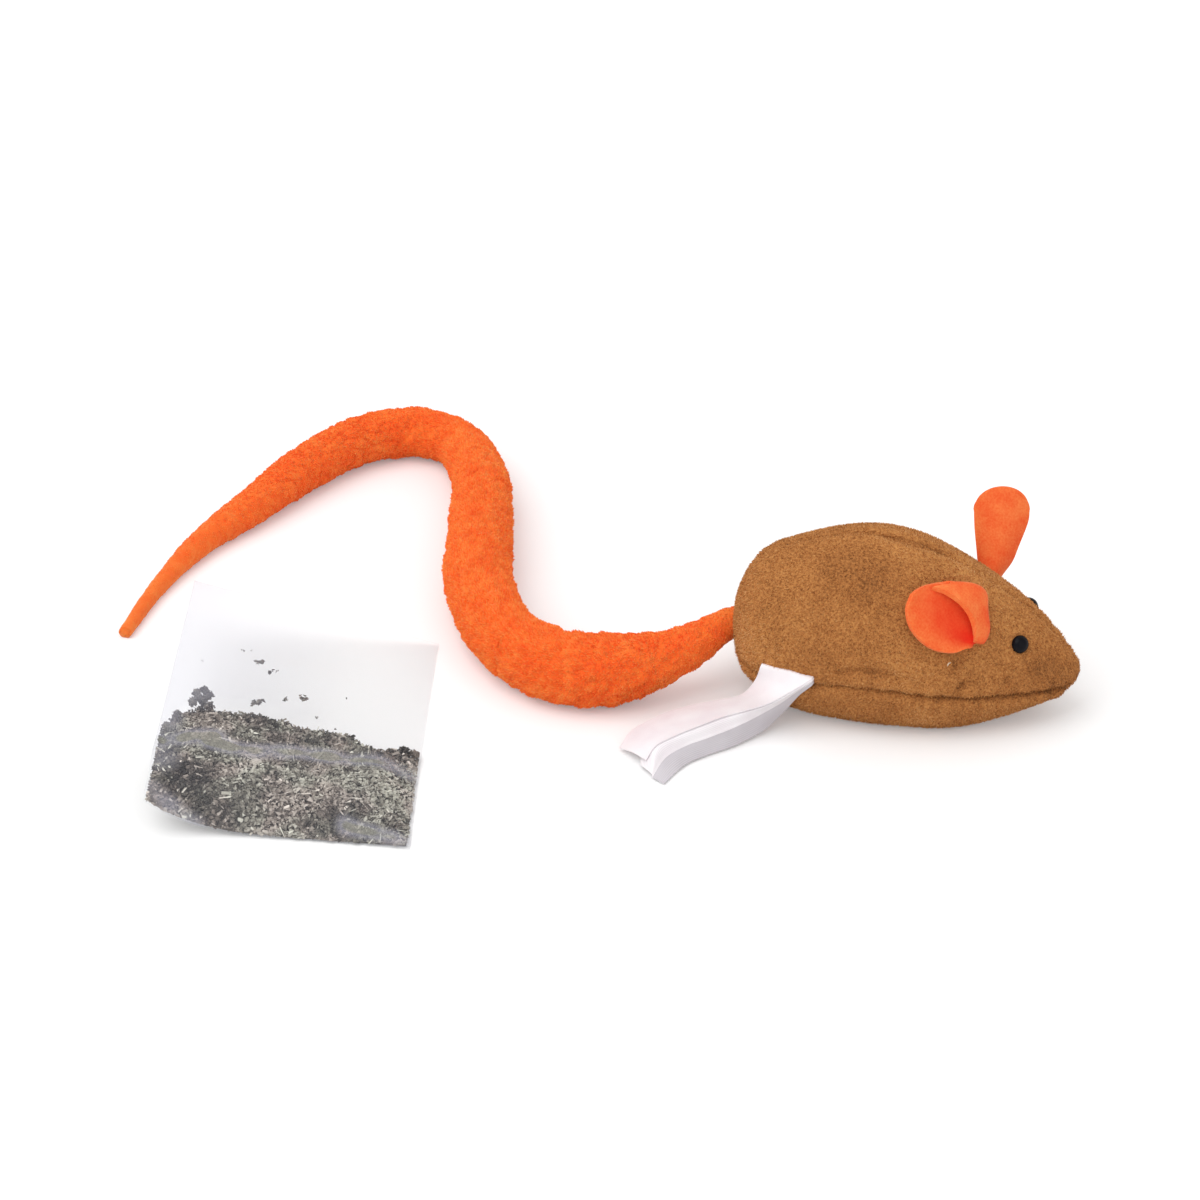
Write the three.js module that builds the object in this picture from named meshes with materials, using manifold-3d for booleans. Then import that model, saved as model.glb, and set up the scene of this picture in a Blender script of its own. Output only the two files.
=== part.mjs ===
// Plush catnip mouse with a long fleece tail, a refill pocket and a flat bag of loose catnip.
// Millimetres, +Z up, +X towards the nose, origin under the belly where the mouse rests.
import * as THREE from 'three';
import { mergeVertices } from 'three/addons/utils/BufferGeometryUtils.js';
import Module from 'manifold-3d';

const wasm = await Module();
wasm.setup();

// Driving dimensions of the body
const bodyLength = 100;
const bodyHalfWidth = 26;
const bodyHeight = 52;
const plushThick = 1.6;
const seamGap = 0.3;
const restFlat = 0.5;
const overrun = 20;
const mergeShare = 0.001;

// Sections from rump to nose, as shares of the half width and of the height
const widthShares = [0, 0.44, 0.75, 0.94, 1.03, 1.01, 0.86, 0.62, 0.37, 0.15, 0];
const topShares = [0.43, 0.64, 0.82, 0.925, 1, 0.985, 0.875, 0.715, 0.55, 0.4, 0.31];
const seamShares = [0.43, 0.31, 0.26, 0.275, 0.31, 0.31, 0.27, 0.25, 0.235, 0.225, 0.31];
const bottomShares = [0.43, 0.24, 0.1, 0.015, 0, 0, 0.005, 0.07, 0.145, 0.2, 0.31];
const upperRoundShare = 1.15;
const lowerRoundShare = 0.62;
const lowerDropShare = 0.8;
const bodyStations = 14;
const bodySides = 20;
const nudgeShare = 0.01;

// Refill pocket in the left flank, closed by a hook and loop flap
const pocketRear = -24.4;
const pocketFront = 6.4;
const pocketTall = 10.4;
const pocketEnd = -9;
const linerThick = 0.7;
const flapMargin = 1.6;
const flapSeamMargin = 1.68;
const flapLap = 4.8;
const flapEdgeGap = 0.8;
const stripWidth = 3.6;
const stripThick = 0.8;
const stripInset = 3;
const flapRelief = 0.5;
const flapLow = seamShares[4] * bodyHeight + flapSeamMargin;
const pocketLow = flapLow + flapLap;
const pocketHigh = pocketLow + pocketTall;

// Safety eyes
const eyeDiameter = 5.2;
const eyeDomeShare = 0.42;
const postDiameter = 1.9;
const postLength = 7.5;
const washerDiameter = 7;
const washerThick = 0.8;
const eyeAlongShare = 0.724;
const eyeAngle = 0.737;
const eyeRoundStepCount = 4;
const roundSides = 12;

// Ears, cut from one ply of orange cloth and pinched at the root
const earLength = 27;
const earHalfWidth = 9.5;
const earThick = 1;
const earHingeGap = 0.8;
const earRootWidth = 6;
const earRootStandOut = 1.2;
const earRootDepth = 4;
const earHalfWidthShares = [0.3, 0.5, 0.72, 0.9, 1, 0.98, 0.82, 0.5, 0.22];
const earOpeningShares = [1, 0.86, 0.74, 0.64, 0.56, 0.5, 0.44, 0.38, 0.32];
const earPinch = 1.5;
const earColumns = 6;
const rightEarAlongShare = 0.635;
const rightEarAngle = Math.PI - 0.6;
const rightEarPointing = [-0.66, -0.27, 0.7];
const rightEarOpening = [0.1, -0.8, 0.4];
const leftEarAlongShare = 0.63;
const leftEarAngle = 0.7;
const leftEarPointing = [0.12, 0.54, 0.83];
const leftEarOpening = [-0.19, 0.83, -0.51];

// Sewn-in label, two plies of satin tape
const labelWidth = 15;
const labelLength = 52;
const labelThick = 0.4;
const labelAlongShare = 0.29;
const labelStepCount = 10;
const labelRunShare = 0.95;
const labelLeaving = [-0.71, -0.7, 0];
const labelRootAcross = [0.88, -0.47, 0.04];
const labelEndAcross = [0.75, -0.65, 0.1];
const plyGap = 2.5;
const plyShift = 3.5;
const upperDropShares = [0, 0.24, 0.35, 0.4, 0.42, 0.43, 0.44, 0.5, 0.78];
const lowerDropShares = [0, 0.34, 0.55, 0.66, 0.7, 0.7, 0.7, 0.8, 0.97];

// Tail, a tapered fleece sleeve over stuffing
const tailRadius = 11;
const tailReach = 179;
const tailSway = 126;
const tailRootHeight = 19;
const sleeveThick = 2.6;
const tailSides = 10;
const tailStep = 12;
const tailCurveStepCount = 400;
const ballShare = 1.15;
const ballSides = 16;
const jointGap = 0.4;
const tailStartShare = 0.002;
const tailJointShares = [0.042, 0.14, 0.265, 0.43, 0.585, 0.745, 1];
const tailLiftAxes = [[-0.35, 0.94], [-0.19, 0.98], [0.88, 0.48], [0.6, 0.8], [0.27, 0.96], [-0.93, 0.36]];
const stuffedSectionCount = 5;
const boreOverShare = 0.05;
const tailRouteShares = [
  [-0.03, 0, 1], [0, -0.015, 0.98], [0.075, -0.115, 0.74], [0.165, -0.175, 0.57], [0.255, -0.195, 0],
  [0.355, -0.11, 0], [0.442, 0.095, 0], [0.494, 0.38, 0], [0.541, 0.63, 0], [0.62, 0.815, 0],
  [0.7, 0.845, 0], [0.785, 0.775, 0], [0.855, 0.61, 0], [0.905, 0.43, 0], [0.96, 0.25, 0],
  [0.99, 0.05, 0], [1, -0.17, 0],
];
const tailRadiusShares = [
  0.38, 0.42, 0.66, 0.97, 1, 0.96, 0.97, 0.94, 0.84, 0.76, 0.76, 0.74, 0.69, 0.57, 0.4, 0.26, 0.19,
];

// Bag of loose catnip, laid flat beside the tail
const bagWidth = 71.5;
const bagLength = 102;
const bagCentreX = -163.8;
const bagCentreY = -61.2;
const bagTurn = 0.173;
const filmThick = 0.3;
const herbThick = 7;
const bagCurl = 19.3;
const bagLowCurl = 7;
const bagFlatShare = 0.6;
const bagCurlRiseShare = 0.85;
const herbRoundShare = 0.5;
const herbFillShare = 0.5;
const herbLowShare = 0.03;
const bagColumns = 16;
const bagRows = 16;

const brown = 0x9c6a3a;
const orange = 0xff5a1f;

const up = new THREE.Vector3(0, 0, 1);
const product = new THREE.Group();

function addPiece(name, geometry, color, roughness = 0.95) {
  const mesh = new THREE.Mesh(geometry, new THREE.MeshStandardMaterial({ color, roughness, metalness: 0 }));
  mesh.name = name;
  product.add(mesh);
}

// A closed solid from a geometry whose corners are merged by place alone
function solidOf(geometry) {
  const bare = new THREE.BufferGeometry();
  bare.setAttribute('position', geometry.getAttribute('position').clone());
  if (geometry.index) bare.setIndex(geometry.index.clone());
  const merged = mergeVertices(bare, seamGap * mergeShare);
  const corners = [];
  for (let i = 0; i < merged.index.count; i += 3) {
    const [a, b, c] = [merged.index.getX(i), merged.index.getX(i + 1), merged.index.getX(i + 2)];
    if (a !== b && b !== c && c !== a) corners.push(a, b, c);
  }
  const vertProperties = new Float32Array(merged.getAttribute('position').array);
  const triVerts = new Uint32Array(corners);
  return new wasm.Manifold(new wasm.Mesh({ numProp: 3, vertProperties, triVerts }));
}

function geometryOf(solid) {
  const mesh = solid.getMesh();
  const geometry = new THREE.BufferGeometry();
  geometry.setAttribute('position', new THREE.BufferAttribute(mesh.vertProperties.slice(), mesh.numProp));
  geometry.setIndex(new THREE.BufferAttribute(mesh.triVerts.slice(), 1));
  geometry.computeVertexNormals();
  return geometry;
}

function boxSolid(x0, x1, y0, y1, z0, z1) {
  const geometry = new THREE.BoxGeometry(x1 - x0, y1 - y0, z1 - z0);
  geometry.translate((x0 + x1) / 2, (y0 + y1) / 2, (z0 + z1) / 2);
  return solidOf(geometry);
}

// A round bar from one point to another
function barSolid(from, to, radius, sides = roundSides) {
  const geometry = new THREE.CylinderGeometry(radius, radius, from.distanceTo(to), sides);
  geometry.rotateX(Math.PI / 2);
  const turn = new THREE.Quaternion().setFromUnitVectors(up, to.clone().sub(from).normalize());
  geometry.applyQuaternion(turn);
  const middle = from.clone().add(to).multiplyScalar(0.5);
  geometry.translate(middle.x, middle.y, middle.z);
  return solidOf(geometry);
}

// A ball whose facets run round the axis that it turns on
function ballSolid(centre, radius, axis) {
  const geometry = new THREE.SphereGeometry(radius, ballSides, ballSides / 2);
  geometry.applyQuaternion(new THREE.Quaternion().setFromUnitVectors(new THREE.Vector3(0, 1, 0), axis));
  geometry.translate(centre.x, centre.y, centre.z);
  return solidOf(geometry);
}

// Value of an evenly spaced table at a place from 0 to 1, by a smooth curve through its entries
function shareAt(table, place) {
  const span = Math.min(Math.max(place, 0), 1) * (table.length - 1);
  const i = Math.min(Math.floor(span), table.length - 2);
  const f = span - i;
  const before = table[i - 1] ?? 2 * table[0] - table[1];
  const after = table[i + 2] ?? 2 * table[i + 1] - table[i];
  const slope = table[i + 1] - before;
  const bend = 2 * before - 5 * table[i] + 4 * table[i + 1] - after;
  const twist = 3 * table[i] - before - 3 * table[i + 1] + after;
  return table[i] + (slope * f + bend * f * f + twist * f * f * f) / 2;
}

// Rings of points joined into a closed skin, with a single point or a flat cap at each end
function loftSolid(rings, firstPoint, lastPoint) {
  const sides = rings[0].length;
  const points = rings.flat();
  const first = points.push(firstPoint) - 1;
  const last = points.push(lastPoint) - 1;
  const index = [];
  for (let s = 0; s < sides; s++) {
    const next = (s + 1) % sides;
    index.push(first, next, s);
    const end = (rings.length - 1) * sides;
    index.push(last, end + s, end + next);
    for (let r = 0; r + 1 < rings.length; r++) {
      const [a, b] = [r * sides + s, r * sides + next];
      index.push(a, b, b + sides, a, b + sides, a + sides);
    }
  }
  const geometry = new THREE.BufferGeometry().setFromPoints(points);
  geometry.setIndex(index);
  return solidOf(geometry);
}

// A closed sheet from a function of two shares and a side, -1 for the back and 1 for the face
function sheetGeometry(rows, columns, pointAt) {
  const points = [];
  const wide = columns + 1;
  for (const side of [1, -1]) {
    for (let r = 0; r <= rows; r++) {
      for (let c = 0; c <= columns; c++) points.push(pointAt(r / rows, c / columns, side));
    }
  }
  const index = [];
  const back = wide * (rows + 1);
  const quad = (a, b, c, d) => index.push(a, b, c, a, c, d);
  for (let r = 0; r < rows; r++) {
    for (let c = 0; c < columns; c++) {
      const a = r * wide + c;
      quad(a, a + 1, a + wide + 1, a + wide);
      quad(back + a, back + a + wide, back + a + wide + 1, back + a + 1);
    }
    const left = r * wide;
    const right = left + columns;
    quad(left, left + wide, back + left + wide, back + left);
    quad(right, back + right, back + right + wide, right + wide);
  }
  for (let c = 0; c < columns; c++) {
    const far = rows * wide + c;
    quad(c, back + c, back + c + 1, c + 1);
    quad(far, far + 1, back + far + 1, back + far);
  }
  const geometry = new THREE.BufferGeometry().setFromPoints(points);
  geometry.setIndex(index);
  return geometryOf(solidOf(geometry));
}

// A point of the body's skin, or of the surface that lies an inset under it
function bodyPoint(along, angle, inset = 0) {
  const halfWidth = Math.max(shareAt(widthShares, along), 0) * bodyHalfWidth;
  const seam = shareAt(seamShares, along) * bodyHeight;
  const top = shareAt(topShares, along) * bodyHeight;
  const bottom = shareAt(bottomShares, along) * bodyHeight - restFlat;
  const [across, rise] = [Math.cos(angle), Math.sin(angle)];
  const round = rise >= 0 ? upperRoundShare : lowerRoundShare;
  const y = halfWidth * Math.sign(across) * Math.abs(across) ** round;
  const z = rise >= 0 ? seam + (top - seam) * rise : seam - (seam - bottom) * (-rise) ** lowerDropShare;
  const half = bodyLength / 2;
  const middle = bodyHeight / 2;
  return new THREE.Vector3(
    -Math.cos(Math.PI * along) * (half - inset),
    y * (1 - inset / bodyHalfWidth),
    middle + (z - middle) * (1 - inset / middle),
  );
}

function bodySolid(inset) {
  const rings = [];
  for (let s = 1; s < bodyStations; s++) {
    const ring = [];
    for (let k = 0; k < bodySides; k++) {
      ring.push(bodyPoint(s / bodyStations, 2 * Math.PI * k / bodySides, inset));
    }
    rings.push(ring);
  }
  return loftSolid(rings, bodyPoint(0, 0, inset), bodyPoint(1, 0, inset));
}

// Outward direction of the skin at a place
function bodyNormal(along, angle) {
  const ahead = bodyPoint(along + nudgeShare, angle).sub(bodyPoint(along - nudgeShare, angle));
  const around = bodyPoint(along, angle + nudgeShare).sub(bodyPoint(along, angle - nudgeShare));
  return around.cross(ahead).normalize();
}

// Everything above or below the line of the belly seam
function seamCutter(above) {
  const shape = new THREE.Shape();
  const reach = bodyLength / 2 + overrun;
  const far = above ? bodyHeight + overrun : -overrun;
  shape.moveTo(reach, far);
  shape.lineTo(-reach, far);
  for (let s = 0; s <= bodyStations; s++) {
    const along = s / bodyStations;
    const height = shareAt(seamShares, along) * bodyHeight + (above ? seamGap : -seamGap) / 2;
    const x = s === 0 ? -reach : s === bodyStations ? reach : -Math.cos(Math.PI * along) * bodyLength / 2;
    shape.lineTo(x, height);
  }
  const depth = 2 * (bodyHalfWidth + overrun);
  const geometry = new THREE.ExtrudeGeometry(shape, { depth, bevelEnabled: false });
  geometry.rotateX(Math.PI / 2);
  geometry.translate(0, depth / 2, 0);
  return solidOf(geometry);
}

const wide = bodyHalfWidth + overrun;
const long = bodyLength / 2 + overrun;
const tall = bodyHeight + overrun;
const aboveFloor = boxSolid(-long, long, -wide, wide, 0, tall);
const skin = bodySolid(0).intersect(aboveFloor);
const plush = skin.subtract(bodySolid(plushThick));
const fillInset = plushThick + seamGap;

// Eyes, each a dome on a post with a washer pressed on behind the plush
function eyeParts(side) {
  const angle = side > 0 ? eyeAngle : Math.PI - eyeAngle;
  const seat = bodyPoint(eyeAlongShare, angle);
  const out = bodyNormal(eyeAlongShare, angle);
  const at = (distance) => seat.clone().addScaledVector(out, distance);
  const domeRadius = eyeDiameter / 2;
  const domeHeight = eyeDiameter * eyeDomeShare;
  const profile = [new THREE.Vector2(0, -postLength), new THREE.Vector2(postDiameter / 2, -postLength)];
  profile.push(new THREE.Vector2(postDiameter / 2, seamGap), new THREE.Vector2(domeRadius, seamGap));
  for (let k = 1; k < eyeRoundStepCount; k++) {
    const lift = (Math.PI / 2) * (k / eyeRoundStepCount);
    profile.push(new THREE.Vector2(domeRadius * Math.cos(lift), seamGap + domeHeight * Math.sin(lift)));
  }
  profile.push(new THREE.Vector2(0, seamGap + domeHeight));
  const dome = new THREE.LatheGeometry(profile, roundSides);
  dome.rotateX(Math.PI / 2);
  dome.applyQuaternion(new THREE.Quaternion().setFromUnitVectors(up, out));
  dome.translate(seat.x, seat.y, seat.z);
  const washerOut = -fillInset - seamGap;
  const boreRadius = postDiameter / 2 + seamGap;
  const boreEnd = at(-postLength - seamGap);
  const hole = barSolid(at(domeRadius), boreEnd, boreRadius);
  const washer = barSolid(at(washerOut), at(washerOut - washerThick), washerDiameter / 2).subtract(hole);
  const wellEnd = at(washerOut - washerThick - seamGap);
  const well = barSolid(at(domeRadius), wellEnd, washerDiameter / 2 + seamGap);
  const pit = barSolid(at(0), boreEnd, boreRadius);
  return { eye: solidOf(dome), washer, hole, well: well.add(pit) };
}
const rightEye = eyeParts(-1);
const leftEye = eyeParts(1);

// Ears: where each is sewn on, which way it points and which way it opens
function earFrame(alongShare, angle, pointing, opening) {
  const seat = bodyPoint(alongShare, angle);
  const along = new THREE.Vector3(...pointing).normalize();
  const open = new THREE.Vector3(...opening);
  open.addScaledVector(along, -open.dot(along)).normalize();
  const across = along.clone().cross(open);
  return { seat, along, open, across };
}
const rightEar = earFrame(rightEarAlongShare, rightEarAngle, rightEarPointing, rightEarOpening);
const leftEar = earFrame(leftEarAlongShare, leftEarAngle, leftEarPointing, leftEarOpening);

// The sewn-in root, a slip of the same cloth through a slit in the plush
function earRoot(frame, margin) {
  const length = earRootDepth + earRootStandOut + plushThick;
  const geometry = new THREE.BoxGeometry(earRootWidth, earThick, length);
  geometry.scale(1 + 2 * margin / earRootWidth, 1 + 2 * margin / earThick, 1 + 2 * margin / length);
  geometry.translate(0, 0, earRootStandOut - length / 2);
  const turn = new THREE.Matrix4().makeBasis(frame.across, frame.open.clone().negate(), frame.along);
  geometry.applyMatrix4(turn);
  geometry.translate(frame.seat.x, frame.seat.y, frame.seat.z);
  return solidOf(geometry);
}

function earLeaf(frame) {
  const rows = earHalfWidthShares.length - 1;
  const start = earRootStandOut + earHingeGap;
  return sheetGeometry(rows, earColumns, (length, width, side) => {
    const halfWidth = shareAt(earHalfWidthShares, length) * earHalfWidth;
    const halfTurn = shareAt(earOpeningShares, length) * earPinch;
    const radius = halfWidth / halfTurn;
    const turn = (2 * width - 1) * halfTurn;
    const reach = radius - side * earThick / 2;
    return frame.seat.clone()
      .addScaledVector(frame.along, start + length * (earLength - start))
      .addScaledVector(frame.across, reach * Math.sin(turn))
      .addScaledVector(frame.open, radius - reach * Math.cos(turn));
  });
}

// Label plies: each leaves the seam, drops towards the floor, runs out and curls down at its end
const labelSeat = bodyPoint(labelAlongShare, Math.PI);
function labelPly(drop, shift, dropShares) {
  const leave = new THREE.Vector3(...labelLeaving).normalize();
  const rootAcross = new THREE.Vector3(...labelRootAcross).normalize();
  const endAcross = new THREE.Vector3(...labelEndAcross).normalize();
  const start = labelSeat.clone().addScaledVector(up, -drop).addScaledVector(leave, earHingeGap);
  return sheetGeometry(labelStepCount, 1, (length, width, side) => {
    const across = rootAcross.clone().lerp(endAcross, length).normalize();
    const fall = (start.z - labelThick) * shareAt(dropShares, length);
    return start.clone()
      .addScaledVector(leave, labelLength * labelRunShare * length)
      .addScaledVector(across, labelWidth * (0.5 - width) + shift)
      .addScaledVector(up, side * labelThick / 2 - fall);
  });
}

// Tail centreline and radius at a share of the way from the rump to the tip
const rump = -bodyLength / 2;
const tailRoute = tailRouteShares.map(([reach, sway, lift], i) => {
  const height = Math.max(lift * tailRootHeight, tailRadiusShares[i] * tailRadius - restFlat);
  return new THREE.Vector3(rump - reach * tailReach, sway * tailSway, height);
});
const tailCurve = new THREE.CatmullRomCurve3(tailRoute, false, 'centripetal');
tailCurve.arcLengthDivisions = tailCurveStepCount;
const tailLength = tailCurve.getLength();
function tailRadiusAt(share) {
  const along = tailCurve.getUtoTmapping(Math.min(Math.max(share, 0), 1));
  return shareAt(tailRadiusShares, along) * tailRadius;
}

// A stretch of the tail between two shares, thinner than the sleeve by an inset
function tailStretch(start, end, inset) {
  const [from, to] = [Math.max(start, 0), Math.min(end, 1)];
  const steps = Math.max(2, Math.ceil((to - from) * tailLength / tailStep));
  const rings = [];
  for (let s = 0; s <= steps; s++) {
    const share = from + (to - from) * s / steps;
    const centre = tailCurve.getPointAt(share);
    const ahead = tailCurve.getTangentAt(share);
    const sideways = ahead.clone().cross(up).normalize();
    const upright = sideways.clone().cross(ahead).normalize();
    const radius = tailRadiusAt(share) - inset;
    const ring = [];
    for (let k = 0; k < tailSides; k++) {
      const turn = 2 * Math.PI * k / tailSides;
      ring.push(centre.clone()
        .addScaledVector(sideways, -radius * Math.cos(turn))
        .addScaledVector(upright, radius * Math.sin(turn)));
    }
    rings.push(ring);
  }
  return loftSolid(rings, tailCurve.getPointAt(from), tailCurve.getPointAt(to));
}

// The whole tail as sleeve, bore and stuffing, all on the same rings so that they stay parallel
const stuffedEnd = tailJointShares[stuffedSectionCount] + boreOverShare;
const sleeveTube = tailStretch(0, 1, 0);
const boreTube = tailStretch(0, stuffedEnd, sleeveThick);
const stuffingTube = tailStretch(0, stuffedEnd, sleeveThick + seamGap);

// Ball ends at a joint, so that one stretch turns in the next with a running gap
function jointBall(k, gap) {
  const share = tailJointShares[k];
  const axis = new THREE.Vector3(...tailLiftAxes[k], 0).normalize();
  return ballSolid(tailCurve.getPointAt(share), tailRadiusAt(share) * ballShare + gap, axis);
}
function tailSection(k, tube) {
  const [from, to] = [tailJointShares[k], tailJointShares[k + 1]];
  const body = tube.intersect(tailStretch(from, to, -sleeveThick));
  const fore = to < 1 ? body.subtract(jointBall(k + 1, jointGap)) : body;
  const around = tailRadiusAt(from) * 2 * ballShare / tailLength;
  const nearJoint = tube.intersect(tailStretch(from - around, from + around, -sleeveThick));
  return fore.add(nearJoint.intersect(jointBall(k, 0)));
}
const floorBox = boxSolid(rump - tailReach - overrun, long, -tailSway, tailSway, 0, tall);

// The fixed root, sewn into the rump, with the socket for the first stretch
const tailRoot = tailStretch(tailStartShare, tailJointShares[0], 0).subtract(jointBall(0, jointGap));
const tailRootHole = tailStretch(0, tailJointShares[0], -seamGap);

// Plush panels, cut apart at the back seam and the belly seam
const upperPlush = plush.intersect(seamCutter(true));
const earSlits = earRoot(rightEar, seamGap).add(earRoot(leftEar, seamGap));
const sidePlush = upperPlush
  .subtract(rightEye.hole).subtract(leftEye.hole).subtract(earSlits).subtract(tailRootHole);
const flapRear = pocketRear - flapMargin;
const flapFront = pocketFront + flapMargin;
const flapBox = boxSolid(flapRear, flapFront, 0, wide, flapLow, pocketHigh + flapMargin);
const flapHole = boxSolid(flapRear - flapEdgeGap, flapFront + flapEdgeGap, 0, wide,
  flapLow - flapEdgeGap, pocketHigh + flapMargin + flapEdgeGap);
const rightSide = sidePlush.intersect(boxSolid(-long, long, -wide, -seamGap / 2, 0, tall));
const leftSide = sidePlush.intersect(boxSolid(-long, long, seamGap / 2, wide, 0, tall)).subtract(flapHole);
addPiece('right_side_panel', geometryOf(rightSide), brown);
addPiece('left_side_panel', geometryOf(leftSide), brown);
addPiece('belly_panel', geometryOf(plush.intersect(seamCutter(false)).subtract(tailRootHole)), brown);
addPiece('pocket_flap', geometryOf(upperPlush.intersect(flapBox)), brown);

// Hook and loop strips along the lower edge of the flap and on the lip behind it
const stripRear = flapRear + stripInset;
const stripFront = flapFront - stripInset;
const stripLow = flapLow + seamGap;
const stripBox = boxSolid(stripRear, stripFront, 0, wide, stripLow, stripLow + stripWidth);
const hookInset = fillInset;
const loopInset = hookInset + stripThick + seamGap;
const hook = bodySolid(hookInset).subtract(bodySolid(hookInset + stripThick)).intersect(stripBox);
const loop = bodySolid(loopInset).subtract(bodySolid(loopInset + stripThick)).intersect(stripBox);
addPiece('hook_strip', geometryOf(hook), 0x3a2b20, 0.8);
addPiece('loop_strip', geometryOf(loop), 0x4a382a);

// Pocket liner, a thin cloth pouch open at the flap
const flapRoom = boxSolid(flapRear - seamGap, flapFront + seamGap, 0, wide, flapLow - seamGap,
  pocketHigh + flapMargin + seamGap).subtract(bodySolid(fillInset + flapRelief));
const linerOuter = boxSolid(pocketRear, pocketFront, pocketEnd, wide, pocketLow, pocketHigh);
const linerInner = boxSolid(pocketRear + linerThick, pocketFront - linerThick, pocketEnd + linerThick,
  wide + overrun, pocketLow + linerThick, pocketHigh - linerThick);
const liner = linerOuter.subtract(linerInner).subtract(flapRoom).intersect(bodySolid(fillInset));
addPiece('pocket_liner', geometryOf(liner), 0xd9cbb4);

// Stuffing in five handfuls packed round the pocket
const linerRoom = boxSolid(pocketRear - seamGap, pocketFront + seamGap, pocketEnd - seamGap, wide,
  pocketLow - seamGap, pocketHigh + seamGap);
const stripRoom = boxSolid(stripRear - seamGap, stripFront + seamGap, 0, wide, stripLow - seamGap,
  stripLow + stripWidth + seamGap).subtract(bodySolid(loopInset + stripThick + seamGap));
const stuffing = bodySolid(fillInset).subtract(linerRoom).subtract(stripRoom).subtract(flapRoom)
  .subtract(rightEye.well).subtract(leftEye.well).subtract(earSlits).subtract(tailRootHole);
const handfuls = {
  head_stuffing: [pocketFront + seamGap, long, -wide, wide, 0, tall],
  rump_stuffing: [-long, pocketRear - seamGap, -wide, wide, 0, tall],
  back_stuffing: [pocketRear, pocketFront, -wide, wide, pocketHigh, tall],
  belly_stuffing: [pocketRear, pocketFront, -wide, wide, 0, pocketLow],
  flank_stuffing: [pocketRear, pocketFront, -wide, pocketEnd, pocketLow + seamGap, pocketHigh - seamGap],
};
for (const [name, box] of Object.entries(handfuls)) {
  addPiece(name, geometryOf(stuffing.intersect(boxSolid(...box))), 0xf1efe8, 1);
}

addPiece('right_eye', geometryOf(rightEye.eye), 0x0c0c10, 0.15);
addPiece('right_eye_washer', geometryOf(rightEye.washer), 0xe6e6e2, 0.5);
addPiece('left_eye', geometryOf(leftEye.eye), 0x0c0c10, 0.15);
addPiece('left_eye_washer', geometryOf(leftEye.washer), 0xe6e6e2, 0.5);

addPiece('right_ear_root', geometryOf(earRoot(rightEar, 0)), orange, 0.9);
addPiece('left_ear_root', geometryOf(earRoot(leftEar, 0)), orange, 0.9);
addPiece('right_ear', earLeaf(rightEar), orange, 0.9);
addPiece('left_ear', earLeaf(leftEar), orange, 0.9);

addPiece('upper_label', labelPly(0, 0, upperDropShares), 0xf4f2f4, 0.4);
addPiece('care_label', labelPly(plyGap, plyShift, lowerDropShares), 0xdcd8de, 0.4);

addPiece('tail_root', geometryOf(tailRoot), orange);
for (let k = 0; k + 1 < tailJointShares.length; k++) {
  const stuffed = k < stuffedSectionCount;
  let sleeve = tailSection(k, sleeveTube).intersect(floorBox);
  if (stuffed) {
    sleeve = sleeve.subtract(boreTube);
    addPiece(`tail_stuffing_${k + 1}`, geometryOf(tailSection(k, stuffingTube)), 0xf1efe8, 1);
  }
  addPiece(`tail_sleeve_${k + 1}`, geometryOf(sleeve), orange);
}

// The bag: two films sealed at the rim, with the herb lying in the lower part. It lies flat at its foot
// and curls up to the left, over more of its width towards its mouth.
function bagPoint(length, width, height) {
  const turned = new THREE.Vector3((width - 0.5) * bagWidth, (length - 0.5) * bagLength, 0);
  turned.applyAxisAngle(up, bagTurn);
  const curledShare = 1 - (1 - bagFlatShare) * (1 - length);
  const lowRise = Math.max(1 - width / bagFlatShare, 0);
  const rise = Math.max(1 - width / curledShare, 0);
  const curl = bagLowCurl * lowRise ** 2 * (1 - length) + bagCurl * rise * length ** bagCurlRiseShare;
  return turned.add(new THREE.Vector3(bagCentreX, bagCentreY, height + curl));
}
function herbHeight(length, width) {
  const lengthwise = (length - herbLowShare) / (herbFillShare - herbLowShare);
  const sideways = (width - herbLowShare) / (1 - 2 * herbLowShare);
  if (lengthwise <= 0 || lengthwise >= 1 || sideways <= 0 || sideways >= 1) return 0;
  return herbThick * (Math.sin(Math.PI * lengthwise) * Math.sin(Math.PI * sideways)) ** herbRoundShare;
}
const filmBed = filmThick + seamGap;
addPiece('bag_back_film', sheetGeometry(bagRows, bagColumns,
  (length, width, side) => bagPoint(length, width, filmThick / 2 * (1 + side))), 0xeeeef4, 0.25);
addPiece('bag_front_film', sheetGeometry(bagRows, bagColumns, (length, width, side) => {
  const height = filmBed + herbHeight(length, width) + filmThick / 2 * (1 + side);
  return bagPoint(length, width, height);
}), 0xeeeef4, 0.25);

// The herb, a low heap on the same grid as the film over it
const herbRows = Math.ceil(herbFillShare * bagRows) - 2;
const herbColumns = bagColumns - 2;
addPiece('catnip', sheetGeometry(herbRows, herbColumns, (length, width, side) => {
  const inLength = (1 + length * herbRows) / bagRows;
  const inWidth = (1 + width * herbColumns) / bagColumns;
  return bagPoint(inLength, inWidth, side < 0 ? filmBed : filmThick + herbHeight(inLength, inWidth));
}), 0x6f6f5e, 1);

export default product;
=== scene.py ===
import bpy
import math
import numpy as np
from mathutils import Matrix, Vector, noise


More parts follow.
